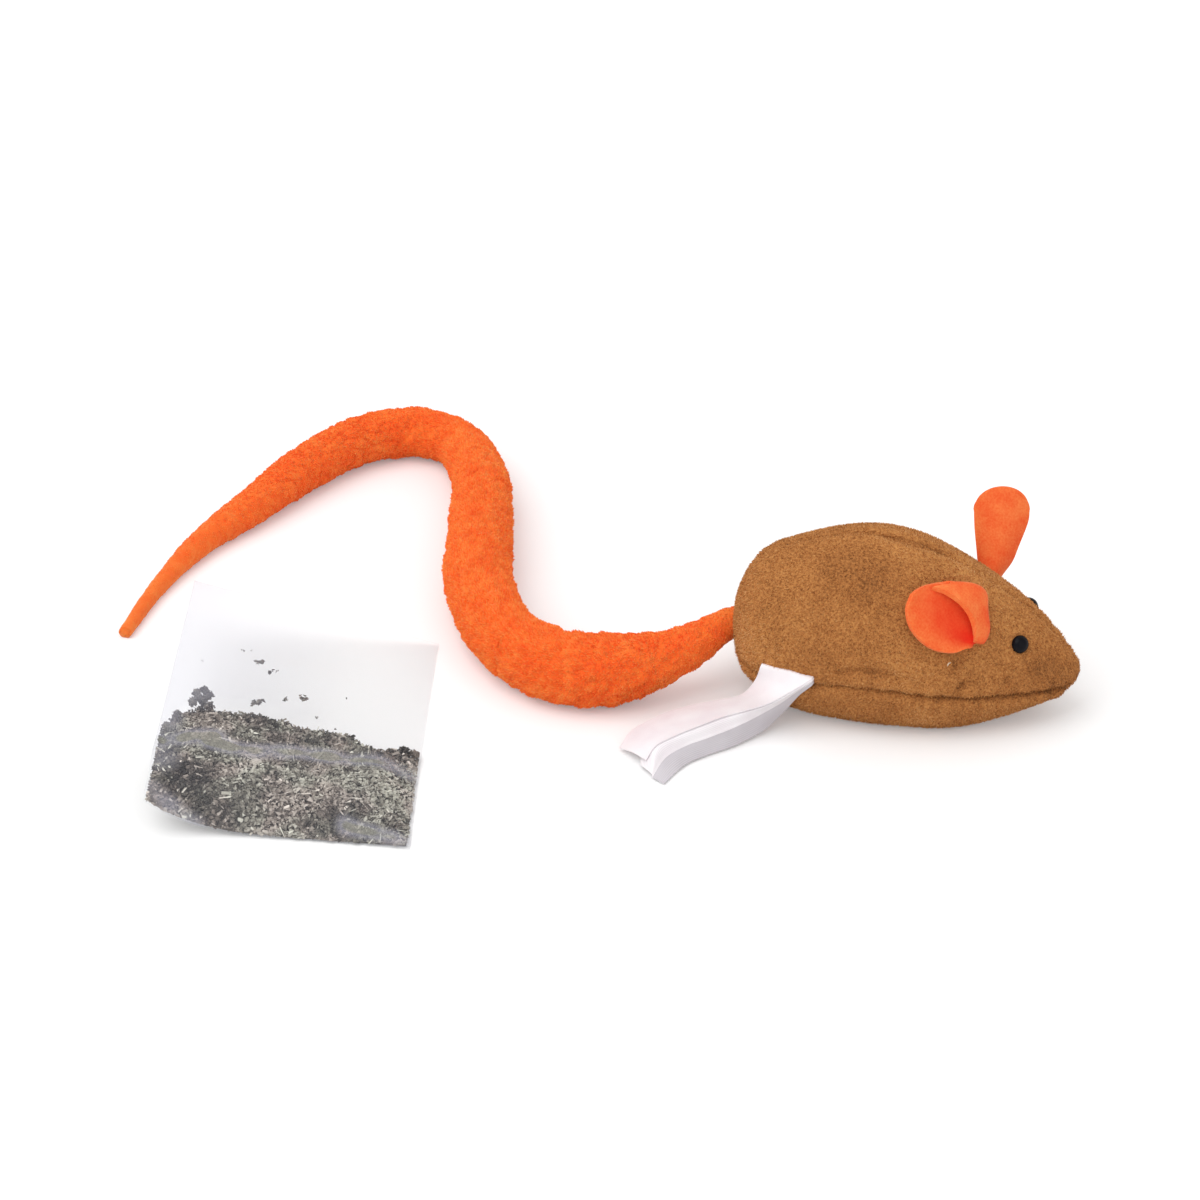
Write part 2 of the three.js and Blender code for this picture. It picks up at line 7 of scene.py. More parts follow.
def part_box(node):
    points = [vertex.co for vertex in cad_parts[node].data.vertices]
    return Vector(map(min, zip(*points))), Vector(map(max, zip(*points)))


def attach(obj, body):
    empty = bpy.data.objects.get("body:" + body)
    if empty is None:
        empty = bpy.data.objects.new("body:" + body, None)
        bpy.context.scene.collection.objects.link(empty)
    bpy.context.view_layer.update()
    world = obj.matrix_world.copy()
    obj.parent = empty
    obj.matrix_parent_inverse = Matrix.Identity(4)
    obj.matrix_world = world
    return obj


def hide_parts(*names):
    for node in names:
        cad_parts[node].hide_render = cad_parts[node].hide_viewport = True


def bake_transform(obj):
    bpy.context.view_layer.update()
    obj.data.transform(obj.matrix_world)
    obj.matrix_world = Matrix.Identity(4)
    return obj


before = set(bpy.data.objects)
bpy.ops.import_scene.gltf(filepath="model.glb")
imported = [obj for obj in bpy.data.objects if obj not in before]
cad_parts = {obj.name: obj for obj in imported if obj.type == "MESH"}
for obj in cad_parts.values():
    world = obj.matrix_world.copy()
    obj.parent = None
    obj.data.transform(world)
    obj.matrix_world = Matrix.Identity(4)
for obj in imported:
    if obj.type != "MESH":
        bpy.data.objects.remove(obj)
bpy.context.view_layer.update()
print("frame loaded:", len(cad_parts), "nodes")

mm = 0.001
imageSize = 1200  # the photograph is 1200 pixels square
detail = 1  # coarser grids while trying things out
noise.seed_set(1)  # or its vectors would differ from run to run


# Small tools that every piece uses

def linearColour(code):
    channels = [int(code[i:i + 2], 16) / 255 for i in (1, 3, 5)]
    return [c / 12.92 if c <= 0.04045 else ((c + 0.055) / 1.055) ** 2.4 for c in channels] + [1]


def addNode(tree, kind, inputs=None, **settings):
    node = tree.nodes.new(kind)
    for name, value in settings.items():
        setattr(node, name, value)
    for name, value in (inputs or {}).items():
        if isinstance(value, bpy.types.NodeSocket):
            tree.links.new(value, node.inputs[name])
        else:
            node.inputs[name].default_value = value
    return node


def newMaterial(name, shader):
    material = bpy.data.materials.new(name)
    material.use_nodes = True
    tree = material.node_tree
    tree.nodes.clear()
    surface = addNode(tree, "ShaderNodeBsdfPrincipled", shader)
    addNode(tree, "ShaderNodeOutputMaterial", {"Surface": surface.outputs[0]})
    return material, tree, surface


def colourRamp(tree, factor, stops):
    ramp = addNode(tree, "ShaderNodeValToRGB", {"Fac": factor})
    elements = ramp.color_ramp.elements
    while len(elements) < len(stops):
        elements.new(0.5)
    for element, (place, code) in zip(elements, stops):
        element.position = place
        element.color = linearColour(code)
    return ramp.outputs["Color"]


def paint(tree, surface, factor, stops):
    tree.links.new(colourRamp(tree, factor, stops), surface.inputs["Base Color"])


def storedValue(tree, name):
    return addNode(tree, "ShaderNodeAttribute", attribute_name=name).outputs["Fac"]


def pattern(tree, kind, output, **inputs):
    # a pattern that stays fixed to the piece
    coordinates = addNode(tree, "ShaderNodeTexCoord").outputs["Object"]
    return addNode(tree, kind, {"Vector": coordinates, **inputs}).outputs[output]


def clouds(tree, size, fineness):
    return pattern(tree, "ShaderNodeTexNoise", "Fac", Scale=1 / size, Detail=fineness)


def weighted(tree, *parts):
    # patterns added up, each with its weight
    total = 0
    for part, weight in parts:
        total = addNode(tree, "ShaderNodeMath", {0: part, 1: weight, 2: total}, operation="MULTIPLY_ADD").outputs[0]
    return total


def addBump(tree, surface, height, distance, strength):
    bump = addNode(tree, "ShaderNodeBump", {"Height": height, "Distance": distance, "Strength": strength})
    tree.links.new(bump.outputs[0], surface.inputs["Normal"])


def blendColours(tree, surface, factor, first, second, **settings):
    mix = addNode(tree, "ShaderNodeMix", {"Factor": factor}, data_type="RGBA", **settings)
    tree.links.new(first, mix.inputs[6])
    tree.links.new(second, mix.inputs[7])
    tree.links.new(mix.outputs[2], surface.inputs["Base Color"])


def deselectAll():
    if bpy.context.object and bpy.context.object.mode != "OBJECT":
        bpy.ops.object.mode_set(mode="OBJECT")
    bpy.ops.object.select_all(action="DESELECT")


def makeActive(piece):
    deselectAll()
    piece.select_set(True)
    bpy.context.view_layer.objects.active = piece


def applyModifier(piece, kind, **settings):
    makeActive(piece)
    modifier = piece.modifiers.new(kind.title(), kind)
    for name, value in settings.items():
        setattr(modifier, name, value)
    bpy.ops.object.modifier_apply(modifier=modifier.name)


def editMesh(piece, *steps):
    makeActive(piece)
    bpy.ops.object.mode_set(mode="EDIT")
    bpy.ops.mesh.select_all(action="SELECT")
    for operator, settings in steps:
        operator(**settings)
    bpy.ops.object.mode_set(mode="OBJECT")


def cornersOf(piece):
    places = np.empty(len(piece.data.vertices) * 3)
    piece.data.vertices.foreach_get("co", places)
    return places.reshape(-1, 3)


def moveCorners(piece, places):
    piece.data.vertices.foreach_set("co", np.ascontiguousarray(places, dtype=np.float32).ravel())
    piece.data.update()


def normalsOf(piece):
    normals = np.empty(len(piece.data.vertices) * 3)
    piece.data.vertices.foreach_get("normal", normals)
    return normals.reshape(-1, 3)


def aboveFloor(places):
    return np.maximum(places, [-np.inf, -np.inf, 0])


def storeValues(piece, name, values):
    piece.data.attributes.new(name, "FLOAT", "POINT").data.foreach_set("value", values.astype(np.float32))


def smoothShade(piece):
    makeActive(piece)
    bpy.ops.object.shade_smooth()


def addMesh(name, corners, faces):
    mesh = bpy.data.meshes.new(name)
    mesh.from_pydata(corners.tolist(), [], faces.tolist())
    piece = bpy.data.objects.new(name, mesh)
    bpy.context.collection.objects.link(piece)
    return piece


def addCloth(name, columns, rows, placeAt):
    # a flat grid laid over the surface that placeAt gives for shares across and along; gives those shares too
    bpy.ops.mesh.primitive_grid_add(x_subdivisions=columns, y_subdivisions=rows, size=1)
    piece = bpy.context.object
    piece.name = piece.data.name = name
    flat = cornersOf(piece) + 0.5
    across, along = flat[:, 0].copy(), flat[:, 1].copy()
    moveCorners(piece, placeAt(across, along))
    return piece, across, along


def noiseAt(places, size, seed=0, octaves=1):
    shift = Vector((seed * 7.3, seed * 3.1, seed * 5.7))
    values = [sum(noise.noise(Vector(p) * (2 ** k / size) + shift) / 2 ** k for k in range(octaves)) for p in places]
    return np.array(values)


def curveBetween(before, start, end, after, f):
    # the smooth curve through four evenly spaced entries, as the solids use
    bend = 2 * before - 5 * start + 4 * end - after
    twist = 3 * start - before - 3 * end + after
    return start + ((end - before) * f + bend * f ** 2 + twist * f ** 3) / 2


def fourAround(table, place):
    # the four entries of a table around each place, and how far it is between the middle two
    padded = np.concatenate([[2 * table[0] - table[1]], table, [2 * table[-1] - table[-2]]])
    span = np.clip(place, 0, 1) * (len(table) - 1)
    i = np.minimum(span.astype(int), len(table) - 2)
    f = (span - i).reshape([-1] + [1] * (table.ndim - 1))
    return padded[i], padded[i + 1], padded[i + 2], padded[i + 3], f


def smoothShares(table, place):
    # a smooth curve through an evenly spaced table of numbers or of points
    return curveBetween(*fourAround(np.array(table, float), place))


def smoothSurface(table, across, along):
    # a smooth surface through rows of points
    rows = smoothShares(table, along)
    padded = np.concatenate([2 * rows[:, :1] - rows[:, 1:2], rows, 2 * rows[:, -1:] - rows[:, -2:-1]], axis=1)
    span = np.clip(across, 0, 1) * (rows.shape[1] - 1)
    i = np.minimum(span.astype(int), rows.shape[1] - 2)
    each = np.arange(len(rows))
    return curveBetween(*(padded[each, i + k] for k in range(4)), (span - i)[:, None])


def unit(vectors):
    return vectors / np.maximum(np.linalg.norm(vectors, axis=-1, keepdims=True), 1e-12)


# Camera: the photograph's angle, with the mouse on the right of a square picture

cameraSettings = {
    "azimuth": math.radians(13), "elevation": math.radians(31), "distance": 1.1,
    "scale": 3850, "targetHeight": 20 * mm, "targetPixel": (907, 634),
}


def cameraAxes(s=cameraSettings):
    # to the right, up and towards the viewer
    azimuth, elevation = s["azimuth"], s["elevation"]
    back = Vector((math.sin(azimuth) * math.cos(elevation), -math.cos(azimuth) * math.cos(elevation),
                   math.sin(elevation)))
    right = Vector((math.cos(azimuth), math.sin(azimuth), 0))
    return right, back.cross(right), back


def addCamera(s=cameraSettings):
    right, rise, back = cameraAxes()
    perPixel = s["distance"] / s["scale"]
    acrossPixels, downPixels = (pixel - imageSize / 2 for pixel in s["targetPixel"])
    target = Vector((0, 0, s["targetHeight"]))
    bpy.ops.object.camera_add()
    camera = bpy.context.object
    camera.name = "camera"
    camera.location = target + back * s["distance"] - right * acrossPixels * perPixel + rise * downPixels * perPixel
    camera.rotation_mode = "QUATERNION"
    camera.rotation_quaternion = (-back).to_track_quat("-Z", "Y")
    camera.data.sensor_width = 36
    camera.data.lens = camera.data.sensor_width * s["scale"] / imageSize
    camera.data.clip_start = 0.01
    bpy.context.scene.camera = camera


addCamera()
print("camera set")


# Body: one plush skin on the same lines as the solids, cut into panels at its seams

bodySettings = {
    "length": 100 * mm, "halfWidth": 26 * mm, "height": 52 * mm, "restFlat": 0.5 * mm, "backing": 0.9 * mm,
    "widthShares": [0, 0.44, 0.75, 0.94, 1.03, 1.01, 0.86, 0.62, 0.37, 0.15, 0],
    "topShares": [0.43, 0.64, 0.82, 0.925, 1, 0.985, 0.875, 0.715, 0.55, 0.4, 0.31],
    "seamShares": [0.43, 0.31, 0.26, 0.275, 0.31, 0.31, 0.27, 0.25, 0.235, 0.225, 0.31],
    "bottomShares": [0.43, 0.24, 0.1, 0.015, 0, 0, 0.005, 0.07, 0.145, 0.2, 0.31],
    "upperRound": 1.15, "lowerRound": 0.62, "lowerDrop": 0.8,
    "ringsAlong": 80, "ringSides": 92, "pileHeight": 0.3 * mm, "deepest": 1.2 * mm,
    "lump": 1 * mm, "lumpSize": 24 * mm, "lumpRaise": 0.35, "dimple": 0.1 * mm, "dimpleSize": 7 * mm,
    # how near each end, as a share, the relief starts to fade and over what share it is gone
    "lumpFade": (0.95, 0.12), "creaseFade": (0.98, 0.08), "seamFade": (0.985, 0.1),
    "creaseEnds": 0.3, "creaseShape": 1.4, "creaseLip": 0.4,
    "seamDepth": 1.3 * mm, "seamWidth": 0.9 * mm, "shoulder": 0.5 * mm,
    "topSeamTight": 0.5, "sideSeamsTight": [0.55, 1], "sideSeamsFrom": [-30 * mm, 5 * mm],
    # paintedShadeDepth: how deep a crease or seam is for its full painted shade; paintedShadeMost: the most painted
    # shade there
    "pucker": 0.4 * mm, "puckerPitch": 6.5 * mm, "puckerReach": 5 * mm, "paintedShadeDepth": 1.5 * mm, "paintedShadeMost": 0.8,
    "sewnReach": 1.2 * mm, "swell": 0.9 * mm, "dip": 0.15 * mm, "pressure": 2000, "clothMass": 0.3, "stiffness": 2,
    "steps": 20,
}
# creases of the stuffed skin as places (share along, angle), with a depth and a width
bodyCreases = [
    {"places": [(0.612, 2.72), (0.606, 2.84), (0.598, 2.94)], "depth": 1.1 * mm, "width": 1.5 * mm},
    {"places": [(0.636, 2.93), (0.622, 2.98), (0.612, 3.05), (0.59, 3.1)], "depth": 1.2 * mm, "width": 1.8 * mm},
    {"places": [(0.712, 2.82), (0.708, 2.96), (0.71, 3.08)], "depth": 0.9 * mm, "width": 1.3 * mm},
    {"places": [(0.742, 2.84), (0.782, 2.72), (0.808, 2.5)], "depth": 0.5 * mm, "width": 3 * mm},
    {"places": [(0.37, 3.04), (0.435, 2.97), (0.486, 2.96), (0.54, 3.03)], "depth": 0.7 * mm, "width": 1.5 * mm},
    {"places": [(0.47, 1.75), (0.462, 2.02), (0.44, 2.4)], "depth": 0.3 * mm, "width": 6 * mm},
    {"places": [(0.4, 1.5), (0.466, 1.64), (0.504, 1.67), (0.542, 1.64), (0.6, 1.56)], "depth": 1.2 * mm,
     "width": 1.4 * mm},
    {"places": [(0.6, 0.6), (0.59, 0.4), (0.6, 0.16)], "depth": 1.2 * mm, "width": 2 * mm},
]
# soft patches of painted shade, and of painted light where the number is below zero: place (share along, angle), reach
# in mm, how much darker
paintedShadingZones = [
    (0.796, 2.64, 6, 0.2), (0.516, 3.37, 6, 0.3), (0.83, 2.95, 5, 0.15), (0.93, 2.6, 9, 0.08), (0.87, 3.6, 10, 0.3),
    (0.6, 3.9, 14, 0.15), (0.45, 4, 14, 0.1), (0.66, 1.75, 8, -0.25), (0.446, 1.75, 6, -0.15), (0.592, 1.7, 5, -0.5),
    (0.5, 1.6, 12, -0.2), (0.2, 2.9, 9, -0.35), (0.46, 2.3, 9, 0.2), (0.4, 2.04, 8, 0.2), (0.35, 2.6, 9, 0.05),
    (0.74, 2.9, 6, 0.15), (0.514, 2.98, 7, -0.3), (0.55, 3.6, 7, -0.4),
]


def bodyPoint(along, angle, s=bodySettings):
    halfWidth = np.maximum(smoothShares(s["widthShares"], along), 0) * s["halfWidth"]
    seam = smoothShares(s["seamShares"], along) * s["height"]
    top = smoothShares(s["topShares"], along) * s["height"]
    bottom = smoothShares(s["bottomShares"], along) * s["height"] - s["restFlat"]
    across, rise = np.cos(angle), np.sin(angle)
    power = np.where(rise >= 0, s["upperRound"], s["lowerRound"])
    y = halfWidth * np.sign(across) * np.abs(across) ** power
    above = seam + (top - seam) * rise
    below = seam - (seam - bottom) * np.maximum(-rise, 0) ** s["lowerDrop"]
    z = np.maximum(np.where(rise >= 0, above, below), 0)
    return np.stack([-np.cos(np.pi * along) * s["length"] / 2, y, z], -1)


def distanceTo(line, places):
    # nearest distance to a line of points, and how far along it that is
    nearest = np.full(len(places), np.inf)
    run = np.zeros(len(places))
    start = 0
    for a, b in zip(line[:-1], line[1:]):
        edge = b - a
        t = np.clip((places - a) @ edge / (edge @ edge), 0, 1)
        gap = np.linalg.norm(places - (a + t[:, None] * edge), axis=1)
        closer = gap < nearest
        nearest[closer] = gap[closer]
        run[closer] = start + t[closer] * np.linalg.norm(edge)
        start += np.linalg.norm(edge)
    return nearest, run


def seamLines():
    stations = np.linspace(0.01, 0.99, 60)
    return [bodyPoint(stations, np.full(60, angle)) for angle in (np.pi / 2, 0, np.pi)]


def fadeAtEnds(places, from_, over, s=bodySettings):
    return np.clip((from_ - np.abs(places[:, 0]) / (s["length"] / 2)) / over, 0, 1)


def reliefOfLumps(places, s=bodySettings):
    lumps = s["lump"] * (s["lumpRaise"] + noiseAt(places, s["lumpSize"], seed=1))
    dimples = s["dimple"] * noiseAt(places, s["dimpleSize"], seed=2)
    return (lumps + dimples) * fadeAtEnds(places, *s["lumpFade"]) - s["pileHeight"]


def reliefOfCreases(places, s=bodySettings):
    relief = np.zeros(len(places))
    for crease in bodyCreases:
        line = bodyPoint(*np.array(crease["places"]).T)
        gap, run = distanceTo(line, places)
        reach = np.linalg.norm(np.diff(line, axis=0), axis=1).sum()
        ends = np.clip(np.minimum(run, reach - run) / (s["creaseEnds"] * reach), s["creaseEnds"], 1)
        relief -= crease["depth"] * ends * np.exp(-(gap / crease["width"]) ** s["creaseShape"])
        lip = s["creaseLip"] * crease["depth"] * ends
        relief += lip * np.exp(-((gap - 2 * crease["width"]) / crease["width"]) ** 2)
    return relief * fadeAtEnds(places, *s["creaseFade"])


def reliefOfSeams(places, s=bodySettings):
    relief = np.zeros(len(places))
    for k, line in enumerate(seamLines()):
        gap, run = distanceTo(line, places)
        tight = s["topSeamTight"] if k == 0 else np.interp(places[:, 0], s["sideSeamsFrom"], s["sideSeamsTight"])
        near = np.exp(-(gap / s["seamWidth"]) ** 2)
        wave = np.sin(2 * np.pi * run / s["puckerPitch"] + 3 * np.sin(run / (2.3 * s["puckerPitch"])))
        fold = s["pucker"] * wave * np.exp(-(gap / s["puckerReach"]) ** 2) * (1 - near)
        relief += tight * (fold - s["seamDepth"] * near)
        relief += tight * s["shoulder"] * np.exp(-((gap - 3 * s["seamWidth"]) / (2 * s["seamWidth"])) ** 2)
    return relief * fadeAtEnds(places, *s["seamFade"])


def paintedShadingOfSkin(places, s=bodySettings):
    # how much darker each place is painted: painted shade deep in a crease or seam, and the soft patches of painted
    # shade and painted light
    relief = reliefOfCreases(places) + reliefOfSeams(places)
    shade = np.clip(-relief / s["paintedShadeDepth"], 0, s["paintedShadeMost"])
    for along, angle, reach, change in paintedShadingZones:
        gap = np.linalg.norm(places - bodyPoint(np.array([along]), np.array([angle])), axis=1)
        shade += change * np.exp(-(gap / (reach * mm)) ** 2)
    return np.clip(shade, -0.7, 1)


def stuffSkin(skin, s=bodySettings):
    # the stuffing presses the panels out between their sewn seams: cloth under pressure, held at the seams
    start, outward = cornersOf(skin), normalsOf(skin)
    nearest = np.minimum.reduce([distanceTo(line, start)[0] for line in seamLines()])
    sewn = skin.vertex_groups.new(name="sewn")
    sewn.add(np.nonzero(nearest < s["sewnReach"])[0].tolist(), 1, "REPLACE")
    cloth = skin.modifiers.new("stuffing", "CLOTH")
    cloth.settings.vertex_group_mass = "sewn"
    cloth.settings.quality = 5
    cloth.settings.mass = s["clothMass"]
    cloth.settings.tension_stiffness = cloth.settings.compression_stiffness = s["stiffness"]
    cloth.settings.shear_stiffness = s["stiffness"] / 3
    cloth.settings.bending_stiffness = s["stiffness"] / 300
    cloth.settings.use_pressure = True
    cloth.settings.uniform_pressure_force = s["pressure"]
    cloth.settings.effector_weights.gravity = 0
    for step in range(1, s["steps"] + 1):
        bpy.context.scene.frame_set(step)
    makeActive(skin)
    bpy.ops.object.modifier_apply(modifier=cloth.name)
    bpy.context.scene.frame_set(1)
    moved = ((cornersOf(skin) - start) * outward).sum(1)
    print("skin stuffed, moved %.2f to %.2f mm" % (moved.min() / mm, moved.max() / mm))
    moveCorners(skin, aboveFloor(start + outward * np.clip(moved, -s["dip"], s["swell"])[:, None]))


def sinkIn(piece, relief):
    moveCorners(piece, aboveFloor(cornersOf(piece) + normalsOf(piece) * relief[:, None]))


def addSkin(s=bodySettings):
    along, around = int(s["ringsAlong"] * detail), int(s["ringSides"] * detail) // 4 * 4
    skin, _, _ = addCloth("body skin", along, around, lambda a, w: bodyPoint(a, 2 * np.pi * w))
    applyModifier(skin, "WELD", merge_threshold=0.02 * mm)
    editMesh(skin, (bpy.ops.mesh.normals_make_consistent, {"inside": False}))
    sinkIn(skin, reliefOfLumps(cornersOf(skin)))
    stuffSkin(skin)
    applyModifier(skin, "SUBSURF", levels=1, render_levels=1, boundary_smooth="PRESERVE_CORNERS")
    places = cornersOf(skin)
    folds = reliefOfCreases(places) + reliefOfSeams(places)
    # the stuffing lies just below
    sinkIn(skin, np.maximum(folds, np.minimum(-s["deepest"] - reliefOfLumps(places), 0)))
    return skin


def keepPart(skin, name, wanted):
    # a copy of the skin with only the faces whose middle is wanted
    piece = skin.copy()
    piece.data = skin.data.copy()
    piece.name = piece.data.name = name
    bpy.context.collection.objects.link(piece)
    makeActive(piece)
    for polygon in piece.data.polygons:
        polygon.select = not wanted(polygon.center)
    bpy.context.tool_settings.mesh_select_mode = (False, False, True)
    bpy.ops.object.mode_set(mode="EDIT")
    bpy.ops.mesh.delete(type="FACE")
    bpy.ops.object.mode_set(mode="OBJECT")
    bpy.context.tool_settings.mesh_select_mode = (True, False, False)
    return piece


def cutAlong(piece, planes):
    # cuts edges into the skin where planes cross it, and takes nothing away
    makeActive(piece)
    bpy.ops.object.mode_set(mode="EDIT")
    for point, normal in planes:
        bpy.ops.mesh.select_all(action="SELECT")
        bpy.ops.mesh.bisect(plane_co=point, plane_no=normal, threshold=0.001 * mm)
    bpy.ops.object.mode_set(mode="OBJECT")


# every tuft's length and width as shares of the usual, from and over; its tone from root to tip, with a painted
# highlight added at the tip; the skin's own tone
tuftSettings = {"sink": 0.15 * mm, "lengths": (0.65, 0.5), "widths": (0.7, 0.6), "tones": (0.15, 0.6), "tipHighlight": 0.25,
                "skinTone": 0.4}


def addPile(piece, seed, perArea, lengthAt, width, lean, spread, clump, clumpSize, napAt, paintedShadingAt, s=tuftSettings):
    # short closed tufts of pile, rooted in the skin and leaning with the nap
    piece.data.calc_loop_triangles()
    triangles = np.empty(len(piece.data.loop_triangles) * 3, int)
    piece.data.loop_triangles.foreach_get("vertices", triangles)
    triangles = triangles.reshape(-1, 3)
    places, normals = cornersOf(piece), normalsOf(piece)
    a, b, c = (places[triangles[:, k]] for k in range(3))
    areas = np.linalg.norm(np.cross(b - a, c - a), axis=1) / 2
    count = int(areas.sum() / mm ** 2 * perArea * detail)
    draws = np.random.default_rng(seed)

    def varied(name):
        return s[name][0] + s[name][1] * draws.random(count)

    picks = draws.choice(len(triangles), count, p=areas / areas.sum())
    fold = np.sqrt(draws.random(count))[:, None]
    slide = draws.random(count)[:, None]
    shares = (1 - fold, fold * (1 - slide), fold * slide)
    roots = sum(share * places[triangles[picks, k]] for k, share in enumerate(shares))
    outward = unit(sum(share * normals[triangles[picks, k]] for k, share in enumerate(shares)))
    flow = np.array([noise.noise_vector(Vector(p / clumpSize)) for p in roots])
    reach = lengthAt(roots) * varied("lengths")
    direction = unit(outward + lean * napAt(roots) + clump * flow + draws.normal(0, spread, (count, 3)))
    sideways = unit(np.cross(direction, draws.normal(0, 1, (count, 3))))
    other = np.cross(direction, sideways)
    rootRadius = width / 2 * varied("widths")[:, None]
    rings = []
    for k in range(3):
        turn = 2 * np.pi * k / 3
        rings.append(roots - outward * s["sink"] + rootRadius * (math.cos(turn) * sideways + math.sin(turn) * other))
    tips = roots + direction * reach[:, None]
    first = np.arange(count)[:, None] * 4
    faces = np.concatenate([first + np.array(f) for f in ((0, 1, 3), (1, 2, 3), (2, 0, 3), (0, 2, 1))])
    pile = addMesh(piece.name + " pile", aboveFloor(np.stack(rings + [tips], 1).reshape(-1, 3)), faces)
    shade = np.repeat(varied("tones"), 4)
    # each tuft's tip is painted lighter: a painted highlight
    shade[3::4] += s["tipHighlight"]
    # the tufts and the skin are darkened by painted shade in creases and seams, and lightened or darkened by the
    # painted patches
    storeValues(pile, "tone", shade * (1 - np.repeat(paintedShadingAt(roots), 4)))
    storeValues(piece, "tone", s["skinTone"] - s["skinTone"] * paintedShadingAt(places))
    return pile


def joinTo(piece, extras):
    makeActive(piece)
    for extra in extras:
        extra.select_set(True)
    bpy.ops.object.join()


def bodyNap(places):
    return np.tile(np.array([[-0.85, 0, -0.5]]), (len(places), 1))


flapSettings = {"box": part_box("pocket_flap"), "slit": 0.8 * mm, "sewnSlit": 0.3 * mm, "bend": 4 * mm}
pileSettings = {
    "perArea": 4.5, "lengthAt": lambda places: np.full(len(places), 0.65 * mm), "width": 0.4 * mm, "lean": 0.7,
    "spread": 0.3, "clump": 0.2, "clumpSize": 3 * mm, "napAt": bodyNap, "paintedShadingAt": paintedShadingOfSkin,
}


def finishPanel(piece, seed):
    pile = addPile(piece, seed, **pileSettings)
    piece.data.materials.append(plushBrown)
    piece.data.materials.append(plushBacking)
    pile.data.materials.append(plushBrown)
    applyModifier(piece, "SOLIDIFY", thickness=bodySettings["backing"], offset=-1, material_offset=1)
    smoothShade(piece)
    joinTo(piece, [pile])


# Plush: short dense polyester pile, dull from every side, its tips painted lighter as a soft highlight and its creases
# darker with painted shade
plushBrown, tree, surface = newMaterial("brown plush pile", {
    "Roughness": 0.9, "Specular IOR Level": 0.2, "Sheen Weight": 0.25, "Sheen Roughness": 0.4,
    "Sheen Tint": linearColour("#e0b183")})
grain = clouds(tree, 0.6 * mm, 1)
speckle = addNode(tree, "ShaderNodeMapRange", {"Value": grain, "From Min": 0.34, "From Max": 0.66}).outputs[0]
mixed = weighted(tree, (storedValue(tree, "tone"), 0.6), (speckle, 0.2), (clouds(tree, 10 * mm, 2), 0.2))
paint(tree, surface, mixed, [(0.14, "#704624"), (0.4, "#ae713d"), (0.62, "#c98d50"), (0.88, "#e3b077")])
addBump(tree, surface, speckle, 0.3 * mm, 0.4)

# Knitted backing: the plain side of the plush, seen only behind the open flap
plushBacking, tree, surface = newMaterial("knitted plush backing", {"Roughness": 0.95})
loops = pattern(tree, "ShaderNodeTexVoronoi", "Distance", Scale=1 / (0.9 * mm))
paint(tree, surface, loops, [(0, "#a98158"), (0.6, "#7b5431")])
addBump(tree, surface, loops, 0.3 * mm, 0.7)

skin = addSkin()
flapLow, flapHigh = flapSettings["box"]
slit, sewnSlit = flapSettings["slit"], flapSettings["sewnSlit"]
flapPlanes = [plane for margin, sewn in ((0, 0), (slit, sewnSlit)) for plane in (
    ((flapLow[0] - margin, 0, 0), (1, 0, 0)), ((flapHigh[0] + margin, 0, 0), (1, 0, 0)),
    ((0, 0, flapLow[2] - margin), (0, 0, 1)), ((0, 0, flapHigh[2] + sewn), (0, 0, 1)))]


def insideFlap(p, margin):
    return (p.y > 0 and flapLow[0] - margin < p.x < flapHigh[0] + margin
            and flapLow[2] - margin < p.z < flapHigh[2] + min(margin, sewnSlit))


def aboveSeam(p):
    along = math.acos(max(-1, min(1, -p.x / (bodySettings["length"] / 2)))) / math.pi
    return p.z > smoothShares(bodySettings["seamShares"], np.array([along]))[0] * bodySettings["height"]


cutAlong(skin, flapPlanes)
rightSide = keepPart(skin, "right_side", lambda p: aboveSeam(p) and p.y < 0)
leftSide = keepPart(skin, "left_side", lambda p: aboveSeam(p) and p.y > 0 and not insideFlap(p, slit))
belly = keepPart(skin, "belly", lambda p: not aboveSeam(p))
flap = keepPart(skin, "flap", lambda p: insideFlap(p, 0))
bpy.data.objects.remove(skin)
panels = ((rightSide, "right_side_panel", "mouse_body"), (leftSide, "left_side_panel", "mouse_body"),
          (belly, "belly_panel", "mouse_body"), (flap, "pocket_flap", "flap"))
for seed, (piece, node, body) in enumerate(panels):
    finishPanel(piece, seed)
    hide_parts(node)
    if body == "flap":  # it is sewn on along its upper edge
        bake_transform(piece)
    else:
        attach(piece, body)
print("plush panels made")


# Eyes: polished domes on posts that pass through the plush

eyeSettings = {"diameter": 5.2 * mm, "domeShare": 0.42, "post": 1.9 * mm, "postLength": 7 * mm, "alongShare": 0.729,
               "angle": 0.725, "lift": 0.8 * mm, "rings": 16, "postSides": 20, "postOverlap": 0.1 * mm,
               "edge": 0.2 * mm}

# Moulded acrylic: hard and smooth, almost black, with one small sharp highlight
blackAcrylic, tree, surface = newMaterial("polished black acrylic", {
    "Roughness": 0.3, "IOR": 1.49, "Specular IOR Level": 0.1})
paint(tree, surface, clouds(tree, 0.8 * mm, 4), [(0.3, "#0b0a0f"), (0.7, "#131217")])


